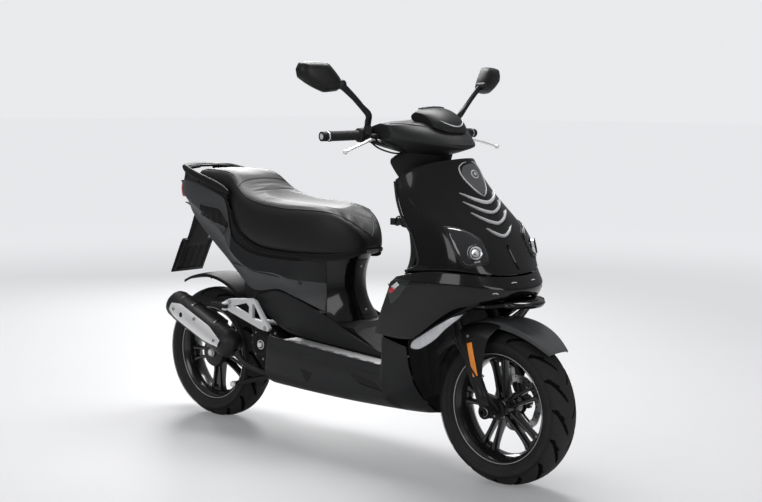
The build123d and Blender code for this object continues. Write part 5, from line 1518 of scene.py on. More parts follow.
# caliper on the left leg, brake hose, and speedometer cable on the right
slab("front_caliper_body", [(592, 300), (604, 290), (632, 296), (646, 318), (640, 350),
                            (622, 358), (600, 348), (590, 326)],
     64, 82, "cast", "fork_lower", bevel=4, seg=3)
slab("front_caliper_inner", [(596, 304), (606, 296), (630, 302), (640, 320), (634, 346),
                             (620, 352), (602, 342), (594, 326)],
     44, 56, "cast", "fork_lower", bevel=3, seg=3)
for k, (x, z) in enumerate([(604, 306), (630, 342)]):
    bolt("caliper_bolt_%d" % k, (x, 82, z), (0, 1, 0), 5, 4, "fork_lower")
lathe("caliper_piston_cap", [(0, 3.5), (9, 3), (11, 1.5), (11.5, 0), (11.5, -1)], "bright",
      "fork_lower", (617, 82, 324), seg=36)
tube("front_brake_hose", [(600, 80, 350), (584, 90, 388), (560, 104, 440), (524, 96, 500),
                          (500, 74, 560)], 3.4, "rubber", "fork_lower", seg=12)
tube("speedo_cable", [(690, -70, 243), (700, -92, 262), (668, -126, 330), (596, -132, 420),
                      (540, -126, 488), (520, -110, 540)],
     3.0, "rubber", "fork_lower", seg=12, steps=14)
lathe("speedo_drive", [(12, -6), (30, -6), (32, -2), (32, 6), (28, 9), (12, 9)], "dmetal",
      "fork_lower", (FRONT_X, -56, TYRE_R), seg=48, closed=True)

# ------------------------------------------------------------------ handlebar controls
LEVER = [(294, -206, 1064), (296, -222, 1063), (301, -240, 1060), (311, -262, 1056),
         (319, -296, 1049), (325, -330, 1041), (329, -356, 1034), (331, -370, 1030)]
BRAKE_CABLE = [(300, -196, 1064), (330, -176, 1050), (344, -140, 1030), (336, -104, 1022),
               (316, -86, 1030)]
CONTROL_CABLE = [(270, -196, 1056), (296, -184, 1036), (318, -150, 1022), (322, -112, 1020),
                 (306, -84, 1034)]


def ball(radius, steps):
    return [(radius * math.sin(math.pi * k / steps), -radius * math.cos(math.pi * k / steps))
            for k in range(steps + 1)]


def grip(side, tag, inner_end, along):
    profile = [(15.0, 36.5), (21.0, 37), (22, 39), (22, 42), (19, 44), (15.2, 45.5)]
    rib = 46
    while rib < 148:
        profile += [(15.0, rib), (15.6, rib + 0.8), (15.6, rib + 3.0), (15.0, rib + 3.8)]
        rib += 5.2
    profile += [(15.4, 150), (16.8, 152), (16.8, 157), (15, 158.5), (12, 159)]
    body = "throttle" if side > 0 else "steering"
    piece = lathe("grip_" + tag, profile, "rubber", body, inner_end, along, seg=40)
    mark(piece, "throttle_grip", side)
    lathe("bar_end_" + tag, [(12, 157.5), (14.4, 158), (15.4, 160), (15.4, 163), (14.2, 165),
                             (14.2, 174), (13, 180), (9, 184), (0, 185)],
          "cast", "steering", inner_end, along, seg=40)
    torus("bar_end_ring_" + tag, inner_end + along * 168, along, 14.2, 1.4, "dark", "steering",
          seg=48)


def switches(side, tag, inner_end, along):
    """Shaped shell round the control housing, with three buttons."""
    up = Vector((0, 0, 1))
    ahead = along.cross(up).normalized() * side
    rings = []
    for reach, deep, high in ((2, 17, 18), (5, 22, 24), (18, 23.5, 26), (30, 23, 25),
                              (35, 19, 21)):
        rings.append([tuple(inner_end + along * reach + ahead * (deep * math.cos(a))
                            + up * (high * math.sin(a) - 1)) for a in turn(14)])
    skin("switch_pod_" + tag, rings, "matte", "steering", hard_rows=(0, 4), hardness=0.5)
    for k, (reach, angle) in enumerate(((11, 150), (22, 150), (16, 120))):
        a = math.radians(angle)
        spot = (inner_end + along * reach - ahead * (23.5 * abs(math.cos(a)))
                + up * (25 * math.sin(a)))
        block(f"switch_button_{k}_{tag}", spot, (6, 8, 5),
              "accr" if k == 2 and side > 0 else "satin", "steering", bevel=1.6, pitch=-35)


def brake_lever(side, tag):
    body = "lever_" + tag
    rings = [[(x, (-204 * side) + wide * math.cos(a) * 1.1, 1070 + high * math.sin(a))
              for a in turn(12)]
             for x, wide, high in ((262, 12, 9), (272, 17, 12), (292, 18, 13), (306, 14, 11))]
    skin("lever_perch_" + tag, rings, "matte", "steering")
    blade = tube("brake_lever_blade_" + tag, sided(LEVER, side), 5, "bright", body, steps=8,
                 radii=[7.5, 6.6, 5.8, 5.2, 5.0, 4.8, 4.4, 4.2], flat=(1.25, 0.85))
    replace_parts(blade, "brake_lever_" + tag)
    lathe("brake_lever_ball_" + tag, ball(7.6, 16), "bright", body, (332, -372 * side, 1030),
          (0, 0, 1), seg=32)
    lathe("lever_pivot_" + tag, [(0, 9.5), (5, 9.2), (6, 8), (6, -8), (5, -9.2), (0, -9.5)],
          "steel", body, sided(LEVER[0], side), (0, 0, 1), seg=28)
    tube("brake_cable_" + tag, sided(BRAKE_CABLE, side), 3.2, "rubber", "steering", seg=12,
         steps=12)
    tube("control_cable_" + tag, sided(CONTROL_CABLE, side), 2.8, "rubber", "steering", seg=12,
         steps=12)
    tube("cable_nipple_" + tag, sided([(300, -197, 1064), (311, -190, 1059)], side), 4.6,
         "steel", "steering", seg=14, straight=True)


# ------------------------------------------------------------------ mirrors
STEM = [(272, -210, 1108), (276, -213, 1118), (290, -226, 1140), (289, -254, 1164),
        (286, -288, 1192), (282, -320, 1216), (279, -340, 1231)]
STEM_RIB = [(278, -224, 1134), (281, -250, 1158), (279, -282, 1186), (277, -310, 1208),
            (276, -328, 1222)]
STEM_BALL = (278, -342, 1232)
# head outline as (outward, z), about its centre; the head's plane faces fore and aft
HEAD = [(-20, 1226), (-12, 1250), (34, 1297), (84, 1301), (129, 1296), (139, 1276),
        (134, 1252), (94, 1226), (44, 1207), (4, 1211)]
HEAD_CENTRE = (68, 1256)
HEAD_AT = Vector((276, -349, 1240))
HEAD_OUT = Vector((-0.259, -0.966, 0))
HEAD_FORWARD = Vector((0.966, -0.259, 0))


def head_ring(side, depth, grow_out, grow_up):
    mid_out, mid_z = HEAD_CENTRE
    return [sided(HEAD_AT + HEAD_OUT * (mid_out + (a - mid_out) * grow_out)
                  + HEAD_FORWARD * depth
                  + Vector((0, 0, mid_z + (z - mid_z) * grow_up - 1240)), side)
            for a, z in HEAD]


def mirror_stem(side, tag):
    body = "mirror_stem_" + tag
    lathe("mirror_boot_" + tag, [(0, 1108), (9, 1107.5), (11.5, 1104), (13.5, 1090),
                                 (14, 1080), (12, 1078), (0, 1078)],
          "rubber", "steering", (272, -210 * side, 0), (0, 0, 1), seg=32)
    stem = tube("mirror_stem_skin_" + tag, sided(STEM, side), 6.6, "dark", body, steps=8,
                radii=[9.6, 10.2, 9.4, 7.6, 7.0, 7.6, 9.4], flat=(1.2, 0.9))
    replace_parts(stem, body)
    tube("mirror_stem_rib_" + tag, sided([(x + 7, y, z + 12) for x, y, z in STEM_RIB], side),
         3.2, "dark", body, steps=8, seg=14)
    lathe("mirror_stem_ball_" + tag, ball(9.4, 14), "dmetal", body, sided(STEM_BALL, side),
          (0, 0, 1), seg=28)
    bolt("mirror_nut_" + tag, (272, -210 * side, 1106), (0, 0, 1), 9.5, 7, body, "dmetal")


def mirror_head(side, tag):
    """Shell with the glass on its rear face."""
    body = "mirror_head_" + tag
    rings = [head_ring(side, depth, grow, grow) for depth, grow in (
        (-14, 0.94), (-13.5, 0.99), (-8, 1.0), (4, 0.985), (14, 0.91), (22, 0.74), (27, 0.44))]
    shell = skin("mirror_head_shell_" + tag, rings, "dark", body, hard_rows=(0, 1),
                 hard_cols=(0, 2, 4, 5, 6, 8, 9), hardness=0.72)
    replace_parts(shell, body)
    skin("mirror_glass_" + tag, [head_ring(side, depth, 0.89, 0.87) for depth in (-14.4, -12.0)],
         "chrome", body, sub=0, bevel=0.8)
    forward = sided(HEAD_FORWARD, side)
    lathe("mirror_pivot_" + tag, [(0, 5.5), (9, 5.2), (12.5, 3.5), (14.5, 0), (15, -8),
                                  (14, -26), (8, -28), (0, -28)],
          "dark", body, sided(Vector(STEM_BALL) + HEAD_FORWARD * 17, side), forward, seg=40)
    torus("mirror_pivot_ring_" + tag, sided(Vector(STEM_BALL) + HEAD_FORWARD * 20.5, side),
          forward, 10.5, 1.3, "dmetal", body, seg=40)


for side, tag in SIDES:
    grip_start = Vector((259, -190 * side, 1077))
    bar_way = (Vector((231, -365 * side, 1074)) - grip_start).normalized()
    grip(side, tag, grip_start, bar_way)
    switches(side, tag, grip_start, bar_way)
    brake_lever(side, tag)
    mirror_stem(side, tag)
    mirror_head(side, tag)

# ------------------------------------------------------------------ handlebar cowl
# distance from the middle: (x, z) section
COWL = {
    0: [(391, 1006), (509, 1036), (470, 1085), (400, 1120), (300, 1124), (250, 1085),
        (250, 1030), (320, 1010)],
    45: [(386, 1008), (496, 1041), (460, 1085), (397, 1117), (300, 1123), (249, 1087),
         (249, 1034), (318, 1012)],
    80: [(375, 1014), (470, 1047), (442, 1085), (390, 1112), (300, 1120), (246, 1090),
         (246, 1040), (315, 1018)],
    145: [(340, 1035), (400, 1062), (392, 1085), (360, 1112), (300, 1118), (246, 1098),
          (242, 1050), (290, 1036)],
    184: [(310, 1052), (345, 1070), (345, 1088), (335, 1108), (300, 1113), (250, 1102),
          (242, 1068), (270, 1050)]}
COWL_GROW = 1.035   # pushed out so that the rounded skin keeps to the solid's outline


def cowl_ring(y):
    section = COWL[abs(y)]
    mid_x = sum(p[0] for p in section) / len(section)
    mid_z = sum(p[1] for p in section) / len(section)
    return [(mid_x + (x - mid_x) * COWL_GROW, y, mid_z + (z - mid_z) * COWL_GROW)
            for x, z in section]


cowl = skin("handlebar_cowl", [cowl_ring(y) for y in (-184, -145, -80, -45, 0, 45, 80, 145, 184)],
            "satin", "steering", sub=3, hard_rows=(0, 8), hard_cols=(1, 3, 4, 7))
mark(cowl, "handlebar_cover")
cowl_surface = Surface(cowl)
for side, tag in SIDES:
    line = [(x, y * side, 1300) for x, y in [(470, 12), (440, 48), (400, 92), (360, 140),
                                             (330, 172)]]
    laid_strip("cowl_swage_" + tag, cowl_surface, line, (0, 0, -1), 0.2, 4.5, 1.5, "satin",
               "steering", taper=True, bevel=0.6)
    spot, _ = cowl_surface.hit((200, -120 * side, 1066), (1, 0, 0))
    bolt("cowl_screw_" + tag, spot - Vector((1.2, 0, 0)), (-1, 0, 0), 4, 1.6, "steering")
laid_strip("cowl_front_line", cowl_surface,
           [(600, y, 1047 + 0.0009 * y * y) for y in (-90, -45, 0, 45, 90)], BACKWARD, 0.2, 3.5,
           1.2, "shade_seam_black", "steering", taper=True, bevel=0.2)
# neck shroud under the cowl: (distance up the steering axis, front, rear and side radii)
NECK = ((1028, 84, 50, 66), (1036, 104, 56, 80), (1066, 128, 60, 96), (1098, 150, 62, 108),
        (1122, 160, 60, 114))
neck_rings = []
for along, front, rear, wide in NECK:
    centre = Vector((755 - RAKE_SIN * along, 0, RAKE_COS * along))
    ring = []
    for a in turn(20):
        ahead = math.cos(a)
        ring.append(tuple(centre + Vector((RAKE_COS, 0, RAKE_SIN))
                          * (ahead * (front if ahead > 0 else rear))
                          + Vector((0, 1, 0)) * (math.sin(a) * wide)))
    neck_rings.append(ring)
skin("steering_neck_shroud", neck_rings, "matte", "steering")

# ------------------------------------------------------------------ instruments
# hood: a tilted oval visor running down the cowl's front slope
hood_rings = []
for y in (-76, -70, -52, -26, 0, 26, 52, 70, 76):
    f = max(0.0, 1 - (abs(y) / 78) ** 2.2) ** 0.5
    hood_rings.append([(x, y, z) for x, z in (
        (330 + 8 * (1 - f), 1118), (404 - 20 * (1 - f), 1114), (410 + 48 * f, 1108 - 36 * f),
        (414 + 60 * f, 1112 - 28 * f), (408 + 50 * f, 1118 - 4 * f),
        (398 + 34 * f, 1126 + 13 * f), (384 + 12 * f, 1136 + 26 * f), (350, 1142 + 25 * f),
        (330 - 2 * f, 1136 + 14 * f))])
hood = skin("instrument_hood", hood_rings, "dark", "steering", sub=3, hard_rows=(0, 8),
            hard_cols=(3, 7), hardness=0.6)
mark(hood, "instrument_pod")
hood_surface = Surface(hood)
DASH_AT = (352, 0, 1160)
DASH_AIM = -Vector((-0.34, 0, 0.94)).normalized()


def dash_strip(name, points, lift, width, thick, mat, steps, bevel):
    """Strip on the dash along (rightward, forward) points."""
    line = [(DASH_AT[0] + 0.94 * b, -a, DASH_AT[2] + 0.34 * b) for a, b in points]
    laid_strip(name, hood_surface, line, DASH_AIM, lift, width, thick, mat, "steering",
               steps=steps, bevel=bevel)


def dial(k, right, radius):
    """Ring, ticks and needle of one dial."""
    def spot(a, share):
        return (right + math.cos(a) * radius * share, math.sin(a) * radius * share - 1)
    ring = [(math.cos(a) * radius + right, math.sin(a) * radius * 0.98 - 1) for a in turn(24)]
    dash_strip("dial_ring_%d" % k, ring + ring[:1], 1.6, 1.6, 0.6, "silver", 2, 0.15)
    for t in range(11):
        a = math.radians(220 - t * 26)
        dash_strip(f"dial_tick_{k}_{t}", (spot(a, 0.72), spot(a, 0.9)), 1.3, 0.8, 0.4, "accw",
                   1, 0.05)
    dash_strip("dial_needle_%d" % k, ((right, -1), spot(math.radians(200), 0.8)), 1.8, 1.2,
               0.5, "accr", 1, 0.1)


screen = smooth_outline([(math.cos(a) * 52, math.sin(a) * 20) for a in turn(12)], 3)
decal("instrument_screen", hood_surface, DASH_AT, (0, -1, 0), (0.94, 0, 0.34), screen, "screen",
      "steering", lift=0.8, thick=2.0, step=10, bevel=0.5)
dash_strip("instrument_bezel", [(a * 1.06, b * 1.08) for a, b in screen + screen[:1]], 1.2, 4,
           2.0, "satin", 2, 0.6)
dial(0, right=-26, radius=13)
dial(1, right=22, radius=15)
laid_strip("hood_lens_edge", hood_surface,
           [(560, y, 1104 + 0.006 * y * y) for y in (-56, -40, -20, 0, 20, 40, 56)], BACKWARD,
           0.6, 4, 1.2, "lens", "steering", taper=True, bevel=0.4)

# ------------------------------------------------------------------ engine: fan cover (right)
CRANK_X, CRANK_Z = -293, 333
FAN_Y = -81
FAN_PROFILE = [(30, -2), (74, -2), (76.5, 2), (77, 20), (75, 34), (70, 44), (62, 50), (58, 51),
               (56, 48), (52, 47), (49, 50), (46, 60), (40, 66), (34, 68.5), (26, 69), (24, 66),
               (16, 65), (0, 65)]
fan = lathe("fan_cover_skin", FAN_PROFILE, "matte", "engine", (CRANK_X, FAN_Y, CRANK_Z),
            (0, -1, 0))
mark(fan, "fan_cover")
for radius, out, thick in ((70.5, 44, 1.6), (58, 51.5, 1.8), (46, 60.5, 1.6), (34, 68.8, 1.4)):
    torus("fan_ring_%d" % radius, (CRANK_X, FAN_Y - out, CRANK_Z), (0, 1, 0), radius, thick,
          "dmetal", "engine")
# slots are black strips, painted shade
for k, a in enumerate(turn(24)):
    strip("fan_slot_%d" % k, [around(CRANK_X, CRANK_Z, 50.5, a, FAN_Y - 49.5),
                              around(CRANK_X, CRANK_Z, 41, a + 0.1, FAN_Y - 64.5)],
          (math.cos(a) * 0.6, -1, math.sin(a) * 0.6), 3.2, 1.6, "shade_seam_black", "engine", steps=2,
          bevel=0.2)
bolt("fan_centre_bolt", (CRANK_X, FAN_Y - 65, CRANK_Z), (0, -1, 0), 9.5, 7, "engine", "bright")
torus("fan_centre_ring", (CRANK_X, FAN_Y - 66, CRANK_Z), (0, 1, 0), 15, 1.8, "bright", "engine",
      seg=48)
for k in range(3):
    bolt("fan_bolt_%d" % k,
         around(CRANK_X, CRANK_Z, 68, math.radians(40 + 120 * k), FAN_Y - 44), (0, -1, 0), 4.5,
         4, "engine")

# cylinder fins and cover, intake duct, spark lead
for k in range(7):
    block("cylinder_fin_%d" % k, (-200 + k * 19, 0, 360), (4, 104, 98), "dmetal", "engine",
          bevel=1.2)
block("cylinder_cover", (-146, -53, 360), (120, 6, 88), "matte", "engine", bevel=2.5)
for k, (x, z) in enumerate([(-196, 324), (-196, 396), (-96, 324), (-96, 396)]):
    bolt("cylinder_cover_bolt_%d" % k, (x, -56, z), (0, -1, 0), 4.5, 3.5, "engine")
tube("intake_duct", [(-180, 30, 402), (-230, 60, 424), (-300, 88, 430), (-386, 104, 418)], 16.5,
     "rubber", "engine", seg=24, steps=12)
for k in range(7):
    f = k / 6
    torus("intake_rib_%d" % k, (-222 - 120 * f, 56 + 38 * f, 420.5 + 10 * math.sin(f * 3)),
          (-0.9, 0.35, 0.05), 17.0, 1.6, "rubber", "engine", seg=36)
tube("spark_lead", [(-80, -40, 392), (-56, -56, 404), (-70, -80, 440), (-140, -96, 452),
                    (-200, -60, 460)], 3.4, "rubber", "engine", seg=12, steps=12)

# ------------------------------------------------------------------ transmission cover (left)
CLUTCH_X, CLUTCH_Z = -585, 272
DRIVE_WAY = Vector((CLUTCH_X - CRANK_X, 0, CLUTCH_Z - CRANK_Z)).normalized()


def drive_outline(crank_r, clutch_r, y):
    """Long outline round both shafts, 25 points to each end."""
    start = math.atan2(DRIVE_WAY.z, DRIVE_WAY.x)
    return ([around(CRANK_X, CRANK_Z, crank_r, start + math.pi / 2 + math.pi * k / 24, y)
             for k in range(25)]
            + [around(CLUTCH_X, CLUTCH_Z, clutch_r, start - math.pi / 2 + math.pi * k / 24, y)
               for k in range(25)])


skin("transmission_cover_skin", [drive_outline(*ring) for ring in (
    (65, 70, 149), (69, 74.5, 151), (68.5, 74, 160), (65, 70, 166.5), (56, 56, 169),
    (52, 52, 169))], "dark", "engine", sub=1, hard_rows=(0, 5), hardness=0.6)
rim = drive_outline(62, 66, 167.6)
tube("transmission_rim", rim + rim[:2], 2.2, "dark", "engine", steps=1, seg=10)
for k in range(12):
    bolt("transmission_bolt_%d" % k, drive_outline(64, 68, 166)[k * 4 + 1], (0, 1, 0), 4.5, 4,
         "engine")
for k in range(9):
    f = 0.16 + 0.08 * k
    x = CRANK_X + (CLUTCH_X - CRANK_X) * f
    z = CRANK_Z + (CLUTCH_Z - CRANK_Z) * f
    high = 52 - 10 * f
    strip("transmission_rib_%d" % k, [(x + 10, 169, z - high), (x - 8, 169.6, z),
                                      (x - 10, 169, z + high)],
          (0, 1, 0), 5, 2.6, "dark", "engine", taper=True, bevel=0.8)
lathe("transmission_boss", [(0, 6), (14, 5.5), (17, 3), (34, 2.2), (38, 0), (38, -2)], "dark",
      "engine", (CRANK_X, 168.5, CRANK_Z), seg=60)
lathe("clutch_boss", [(0, 6), (12, 5.5), (15, 3), (30, 2.2), (34, 0), (34, -2)], "dark",
      "engine", (CLUTCH_X, 168.5, CLUTCH_Z), seg=60)
lathe("kick_boss", [(0, 22), (10, 21), (11, 18), (14, 4), (16, 0)], "steel", "kick_lever",
      (-430, 166, 290), seg=40)
tube("kick_lever_arm", [(-430, 184, 290), (-462, 188, 302), (-510, 190, 318), (-552, 192, 332),
                        (-560, 206, 335)],
     7, "steel", "kick_lever", seg=18, steps=8, flat=(0.8, 1.2))
tube("kick_pedal", [(-560, 192, 334), (-560, 226, 334)], 9, "rubber", "kick_lever", seg=24,
     straight=True)
bolt("rear_axle_nut", (REAR_X, -50, TYRE_R), (0, -1, 0), 13, 10, "engine", "bright")
torus("rear_axle_washer", (REAR_X, -50, TYRE_R), (0, 1, 0), 15, 1.8, "steel", "engine", seg=40)

# ------------------------------------------------------------------ exhaust (right)
CAN_FRONT = Vector((-412, -160, 306))
CAN_REAR = Vector((-745, -160, 440))
CAN_WAY = (CAN_REAR - CAN_FRONT).normalized()
CAN_LONG = (CAN_REAR - CAN_FRONT).length
CAN_OUT = Vector((0, -1, 0))
CAN_UP = CAN_WAY.cross(CAN_OUT).normalized()
if CAN_UP.z < 0:
    CAN_UP = -CAN_UP


def can_point(along, angle, radius):
    """Point round the can, its angle measured up from straight outward."""
    return (CAN_FRONT + CAN_WAY * along
            + (CAN_OUT * math.cos(angle) + CAN_UP * math.sin(angle)) * radius)


# (radius, distance from the front end), then (radius, distance from the rear end)
CAN_PROFILE = [(0, -9), (16, -8), (24, -4), (40, 8), (49, 26), (52, 44), (52, 60), (53.2, 61),
               (53.2, 68), (52, 69)]
CAN_PROFILE += [(radius, CAN_LONG + back) for radius, back in (
    (52, -62), (53.5, -60), (53.5, -50), (52, -48), (51.5, -20), (47, -7), (40, -1), (34, 1.5),
    (30, 1.5), (27, -4), (22, -6), (0, -6))]
can = lathe("muffler_can", CAN_PROFILE, "dmetal", "engine", CAN_FRONT, CAN_WAY)
mark(can, "muffler")
outlet = CAN_FRONT + Vector((0, 0, -10))
lathe("muffler_outlet", [(radius, CAN_LONG + back) for radius, back in (
    (9, -8), (12, -8), (12.6, 8), (11.6, 9), (10, 8.5), (9.4, -8))], "steel", "engine", outlet,
    CAN_WAY, seg=36, closed=True)
# bore: a black disc, painted shade inside the outlet
lathe("muffler_outlet_bore", [(0, CAN_LONG - 5.6), (9.2, CAN_LONG - 5.6)], "shade_seam_black", "engine",
      outlet, CAN_WAY, seg=30)
tube("exhaust_pipe", [(-85, -30, 300), (-85, -38, 268), (-92, -54, 246), (-128, -97, 240),
                      (-190, -108, 234), (-260, -116, 230), (-312, -128, 234),
                      (-356, -146, 250), (-386, -156, 270), (-402, -160, 298)],
     11.3, "dmetal", "engine", steps=8, seg=24)
tube("exhaust_flange", [(-85, -30, 309), (-85, -30, 300)], 19, "dmetal", "engine", seg=28,
     straight=True)
# bright heat shield wrapped round the outer side of the can
SHIELD_TURN = math.radians(8)
rows = []
for i in range(27):
    f = i / 26
    half = math.radians(31) * min(1.0, 0.42 + 2.1 * f, 0.46 + 4.2 * (1 - f))
    rows.append([tuple(can_point(34 + (CAN_LONG - 74) * f, SHIELD_TURN + half * (j / 4 - 1),
                                 57.2 + 1.2 * math.cos((j / 4 - 1) * 1.4))) for j in range(9)])
heat_shield = panel("muffler_heat_shield", rows, "bright", "engine", thick=1.6, sub=1,
                    away=(CAN_FRONT + CAN_REAR) / 2, bevel=0.5)
mark(heat_shield, "muffler_shield")


def can_spot(along, degrees, radius):
    """A point off the can and the way out from it."""
    spot = can_point(along, math.radians(degrees), radius)
    return spot, (can_point(along, math.radians(degrees), 70) - spot).normalized()


# the screw sockets and the hole in the shield are black discs, painted shade
for k, (along, degrees) in enumerate([(58, 8), (CAN_LONG * 0.52, 26), (CAN_LONG - 62, 8)]):
    spot, out = can_spot(along, degrees, 58.4)
    bolt("heat_shield_screw_%d" % k, spot, out, 5.2, 3.2, "engine", seg=24)
    lathe("heat_shield_socket_%d" % k, [(0, 3.3), (2.6, 3.3)], "shade_seam_black", "engine", spot, out,
          seg=6)
spot, out = can_spot(CAN_LONG * 0.70, 8, 58.9)
lathe("heat_shield_hole", [(0, 0.6), (9, 0.6), (10.2, 0.1)], "shade_seam_black", "engine", spot, out, seg=36)
torus("heat_shield_hole_rim", spot + out * 0.4, out, 10, 1.0, "bright", "engine", seg=40)
for k, along in enumerate((110, CAN_LONG - 120)):
    tube("muffler_strap_%d" % k,
         [can_point(along, a, 53.0) for a in np.linspace(math.radians(60), math.radians(300), 20)],
         2.2, "steel", "engine", steps=2, seg=8, flat=(1, 2.6))
block("muffler_bracket", (-560, -106, 392), (90, 12, 26), "dmetal", "engine", bevel=3,
      pitch=21.9)

# ------------------------------------------------------------------ rear mudguard
rows = [[around(REAR_X, TYRE_R, 301 - 4 * abs(g) ** 2 - (9 if abs(g) == 1 else 0),
                math.radians(36 + (118 - 36) * k / 12),
                74 * g * (1 - 0.1 * max(0, (k - 9) / 3)))
         for g in (-1, -0.95, -0.7, -0.35, 0, 0.35, 0.7, 0.95, 1)] for k in range(13)]
rear_guard = panel("rear_mudguard_skin", rows, "matte", "engine", thick=2.6, sub=2,
                   hard_cols=(1, 7), hardness=0.6, away=(REAR_X, 0, TYRE_R))
mark(rear_guard, "rear_mudguard")
for side, tag in SIDES:
    tube("rear_mudguard_stay_" + tag,
         sided([(REAR_X + 230, -60, TYRE_R + 170), (REAR_X + 250, -66, TYRE_R + 120),
                (-400, -70, 330)], side), 5, "dmetal", "engine", seg=14)

# ------------------------------------------------------------------ centre stand
for side, tag in SIDES:
    lathe("stand_foot_" + tag, [(0, 9), (8, 8.6), (10.5, 6), (10.8, -6), (9, -9), (0, -9.4)],
          "bright", "center_stand", (-454, -134 * side, 168), (0.3, -side, -0.1), seg=32)
    bolt("stand_pivot_" + tag, (-278, -84 * side, 222), (0, -side, 0), 9, 6, "center_stand")
tube("stand_tang", [(-400, 118, 184), (-428, 150, 190), (-470, 160, 196)], 6, "dmetal",
     "center_stand", seg=16)

# ------------------------------------------------------------------ rear shock (left)
SHOCK_X, SHOCK_Y = -600, 120
COIL_TURNS, COIL_R, WIRE_R = 7.5, 25.5, 4.3
COIL_TOP, COIL_LOW = 608.0, 409.0
COIL_STEPS, WIRE_STEPS = 320, 12
verts = []
for i in range(COIL_STEPS + 1):
    f = i / COIL_STEPS
    a = 2 * math.pi * COIL_TURNS * f
    centre = Vector((SHOCK_X + COIL_R * math.cos(a), SHOCK_Y + COIL_R * math.sin(a),
                     COIL_LOW + WIRE_R + (COIL_TOP - COIL_LOW - 2 * WIRE_R) * f))
    ahead = Vector((-math.sin(a) * COIL_R, math.cos(a) * COIL_R,
                    (COIL_TOP - COIL_LOW) / (2 * math.pi * COIL_TURNS))).normalized()
    out = Vector((math.cos(a), math.sin(a), 0))
    across = ahead.cross(out)
    verts += [tuple(centre + (out * math.cos(b) + across * math.sin(b)) * WIRE_R)
              for b in turn(WIRE_STEPS)]
spring = solid("shock_coil", verts, ring_faces(COIL_STEPS + 1, WIRE_STEPS, caps=-1), "steel",
               "shock_upper")
mark(spring, "shock_spring")
torus("shock_top_seat", (SHOCK_X, SHOCK_Y, 612), (0, 0, 1), 25, 3.0, "dmetal", "shock_upper",
      seg=48)
torus("shock_bottom_seat", (SHOCK_X, SHOCK_Y, 405), (0, 0, 1), 25, 3.0, "dmetal", "shock_lower",
      seg=48)
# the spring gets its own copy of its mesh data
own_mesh(spring)

# any kept solid without a look gets matte black, and all get weighted normals
for kept in frame["nodes"].values():
    if kept.hide_render:
        continue
    if not kept.data.materials or kept.data.materials[0] not in list(M.values()):
        kept.data.materials.clear()
        kept.data.materials.append(M["matte"])
    kept.modifiers.new("wn", "WEIGHTED_NORMAL")

# ------------------------------------------------------------------ stage floor (metres)
edit = bmesh.new()
bmesh.ops.create_grid(edit, x_segments=2, y_segments=2, size=60)
floor_mesh = bpy.data.meshes.new("stage_floor")
edit.to_mesh(floor_mesh)
edit.free()
floor = bpy.data.objects.new("stage_floor", floor_mesh)
bpy.context.scene.collection.objects.link(floor)
floor.location = (0, 0, -0.0005)
floor_mat = material("stage_floor_pale", (0.42, 0.42, 0.425), rough=0.55, vary=0.02, scale=3,
                     spec=0.2, glow=(0.86, 0.87, 0.89, 0.66))
# the floor glows more with distance, and more to the camera than to other rays
tree = floor_mat.node_tree
place = node(tree, "NewGeometry").outputs["Position"]
distance = node(tree, "VectorMath", {0: place}, operation="LENGTH")
far = node(tree, "MapRange", {"From Min": 0.8, "From Max": 7.5, "To Min": 0.20, "To Max": 0.78,
                              "Value": distance.outputs["Value"]},
           interpolation_type="SMOOTHSTEP")
rays = node(tree, "LightPath")
seen = node(tree, "MapRange", {"To Min": 0.22, "To Max": 1.0,
                               "Value": rays.outputs["Is Camera Ray"]})
strength = node(tree, "Math", {0: far.outputs["Result"], 1: seen.outputs["Result"]},
                operation="MULTIPLY")
feed(tree, tree.nodes["Principled BSDF"], {"Emission Strength": strength.outputs[0]})
floor_mesh.materials.append(floor_mat)
floor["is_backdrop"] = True

# ------------------------------------------------------------------ world
# the camera sees a plain pale backdrop; other rays get a dimmer sky graded by height
world = bpy.data.worlds.new("studio")
bpy.context.scene.world = world
world.use_nodes = True
tree = world.node_tree
tree.nodes.clear()
output = node(tree, "OutputWorld")
rays = node(tree, "LightPath")
backdrop = node(tree, "Background", {"Color": (0.86, 0.87, 0.89, 1), "Strength": 0.95})
sky = node(tree, "Background", {"Strength": 0.36})
way = node(tree, "TexCoord").outputs["Generated"]
height = node(tree, "SeparateXYZ", {"Vector": way}).outputs["Z"]
grade = node(tree, "ValToRGB", {"Fac": height})
for stop, position, colour in zip(grade.color_ramp.elements, (0.0, 0.75),
                                  ((0.42, 0.42, 0.44, 1), (0.80, 0.81, 0.83, 1))):
    stop.position = position
    stop.color = colour
feed(tree, sky, {"Color": grade.outputs["Color"]})
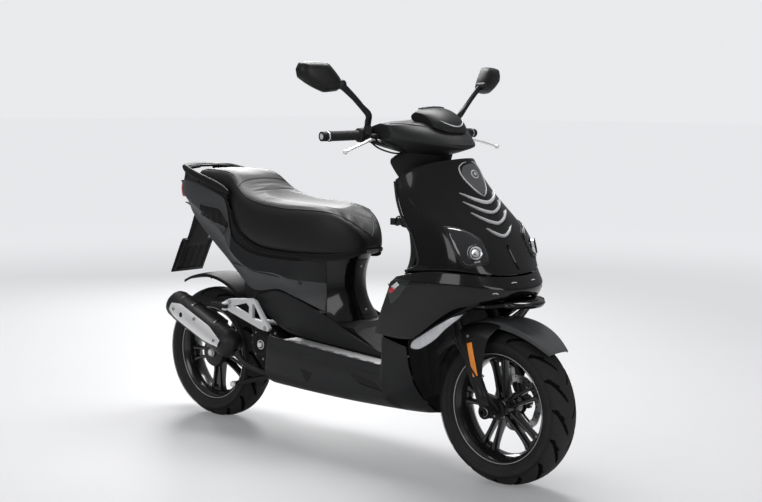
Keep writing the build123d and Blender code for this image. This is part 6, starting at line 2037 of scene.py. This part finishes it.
both = node(tree, "MixShader", {"Fac": rays.outputs["Is Camera Ray"], 1: sky.outputs[0],
                                2: backdrop.outputs[0]})
feed(tree, output, {"Surface": both.outputs[0]})


# ------------------------------------------------------------------ lights
def area(name, place, target, size, watts):
    """Rectangular light aimed at target."""
    light = bpy.data.lights.new(name, "AREA")
    light.shape = "RECTANGLE"
    light.size, light.size_y = size
    light.energy = watts
    lamp = bpy.data.objects.new(name, light)
    bpy.context.scene.collection.objects.link(lamp)
    lamp.location = place
    aim = Vector(target) - Vector(place)
    lamp.rotation_euler = aim.to_track_quat("-Z", "Y").to_euler()
    lamp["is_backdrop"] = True


area("key_top", place=(-0.6, 0.6, 3.4), target=(-0.1, 0, 0.6), size=(2.6, 1.6), watts=165)
area("rim_left", place=(-2.8, 2.2, 2.2), target=(-0.2, 0, 0.6), size=(1.2, 2.2), watts=80)
area("fill_right", place=(1.2, -4.0, 2.4), target=(0.1, 0, 0.5), size=(2.6, 2.0), watts=42)
area("front_soft", place=(4.2, -0.6, 1.9), target=(0.4, 0, 0.6), size=(1.6, 2.4), watts=34)

# ------------------------------------------------------------------ camera
CAMERA_AT = (3.161, -3.306, 1.19)
azimuth, tilt, roll = math.radians(42.427), math.radians(6.425), math.radians(0.348)
view = Vector((-math.sin(azimuth) * math.cos(tilt), math.cos(azimuth) * math.cos(tilt),
               -math.sin(tilt)))
level = Vector((math.cos(azimuth), math.sin(azimuth), 0))
upright = level.cross(view)
right = level * math.cos(roll) + upright * math.sin(roll)
up = -level * math.sin(roll) + upright * math.cos(roll)
camera_data = bpy.data.cameras.new("camera")
camera_data.sensor_width = 36
camera_data.lens = 63.9255118
camera_data.clip_end = 100
camera = bpy.data.objects.new("camera", camera_data)
bpy.context.scene.collection.objects.link(camera)
pose = Matrix.Identity(4)
for i in range(3):
    pose[i] = (right[i], up[i], -view[i], CAMERA_AT[i])
camera.matrix_world = pose
bpy.context.scene.camera = camera
camera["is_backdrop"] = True
bpy.context.scene.view_settings.view_transform = "Standard"
bpy.context.scene.view_settings.exposure = 0.0

bpy.context.view_layer.update()
low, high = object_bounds()
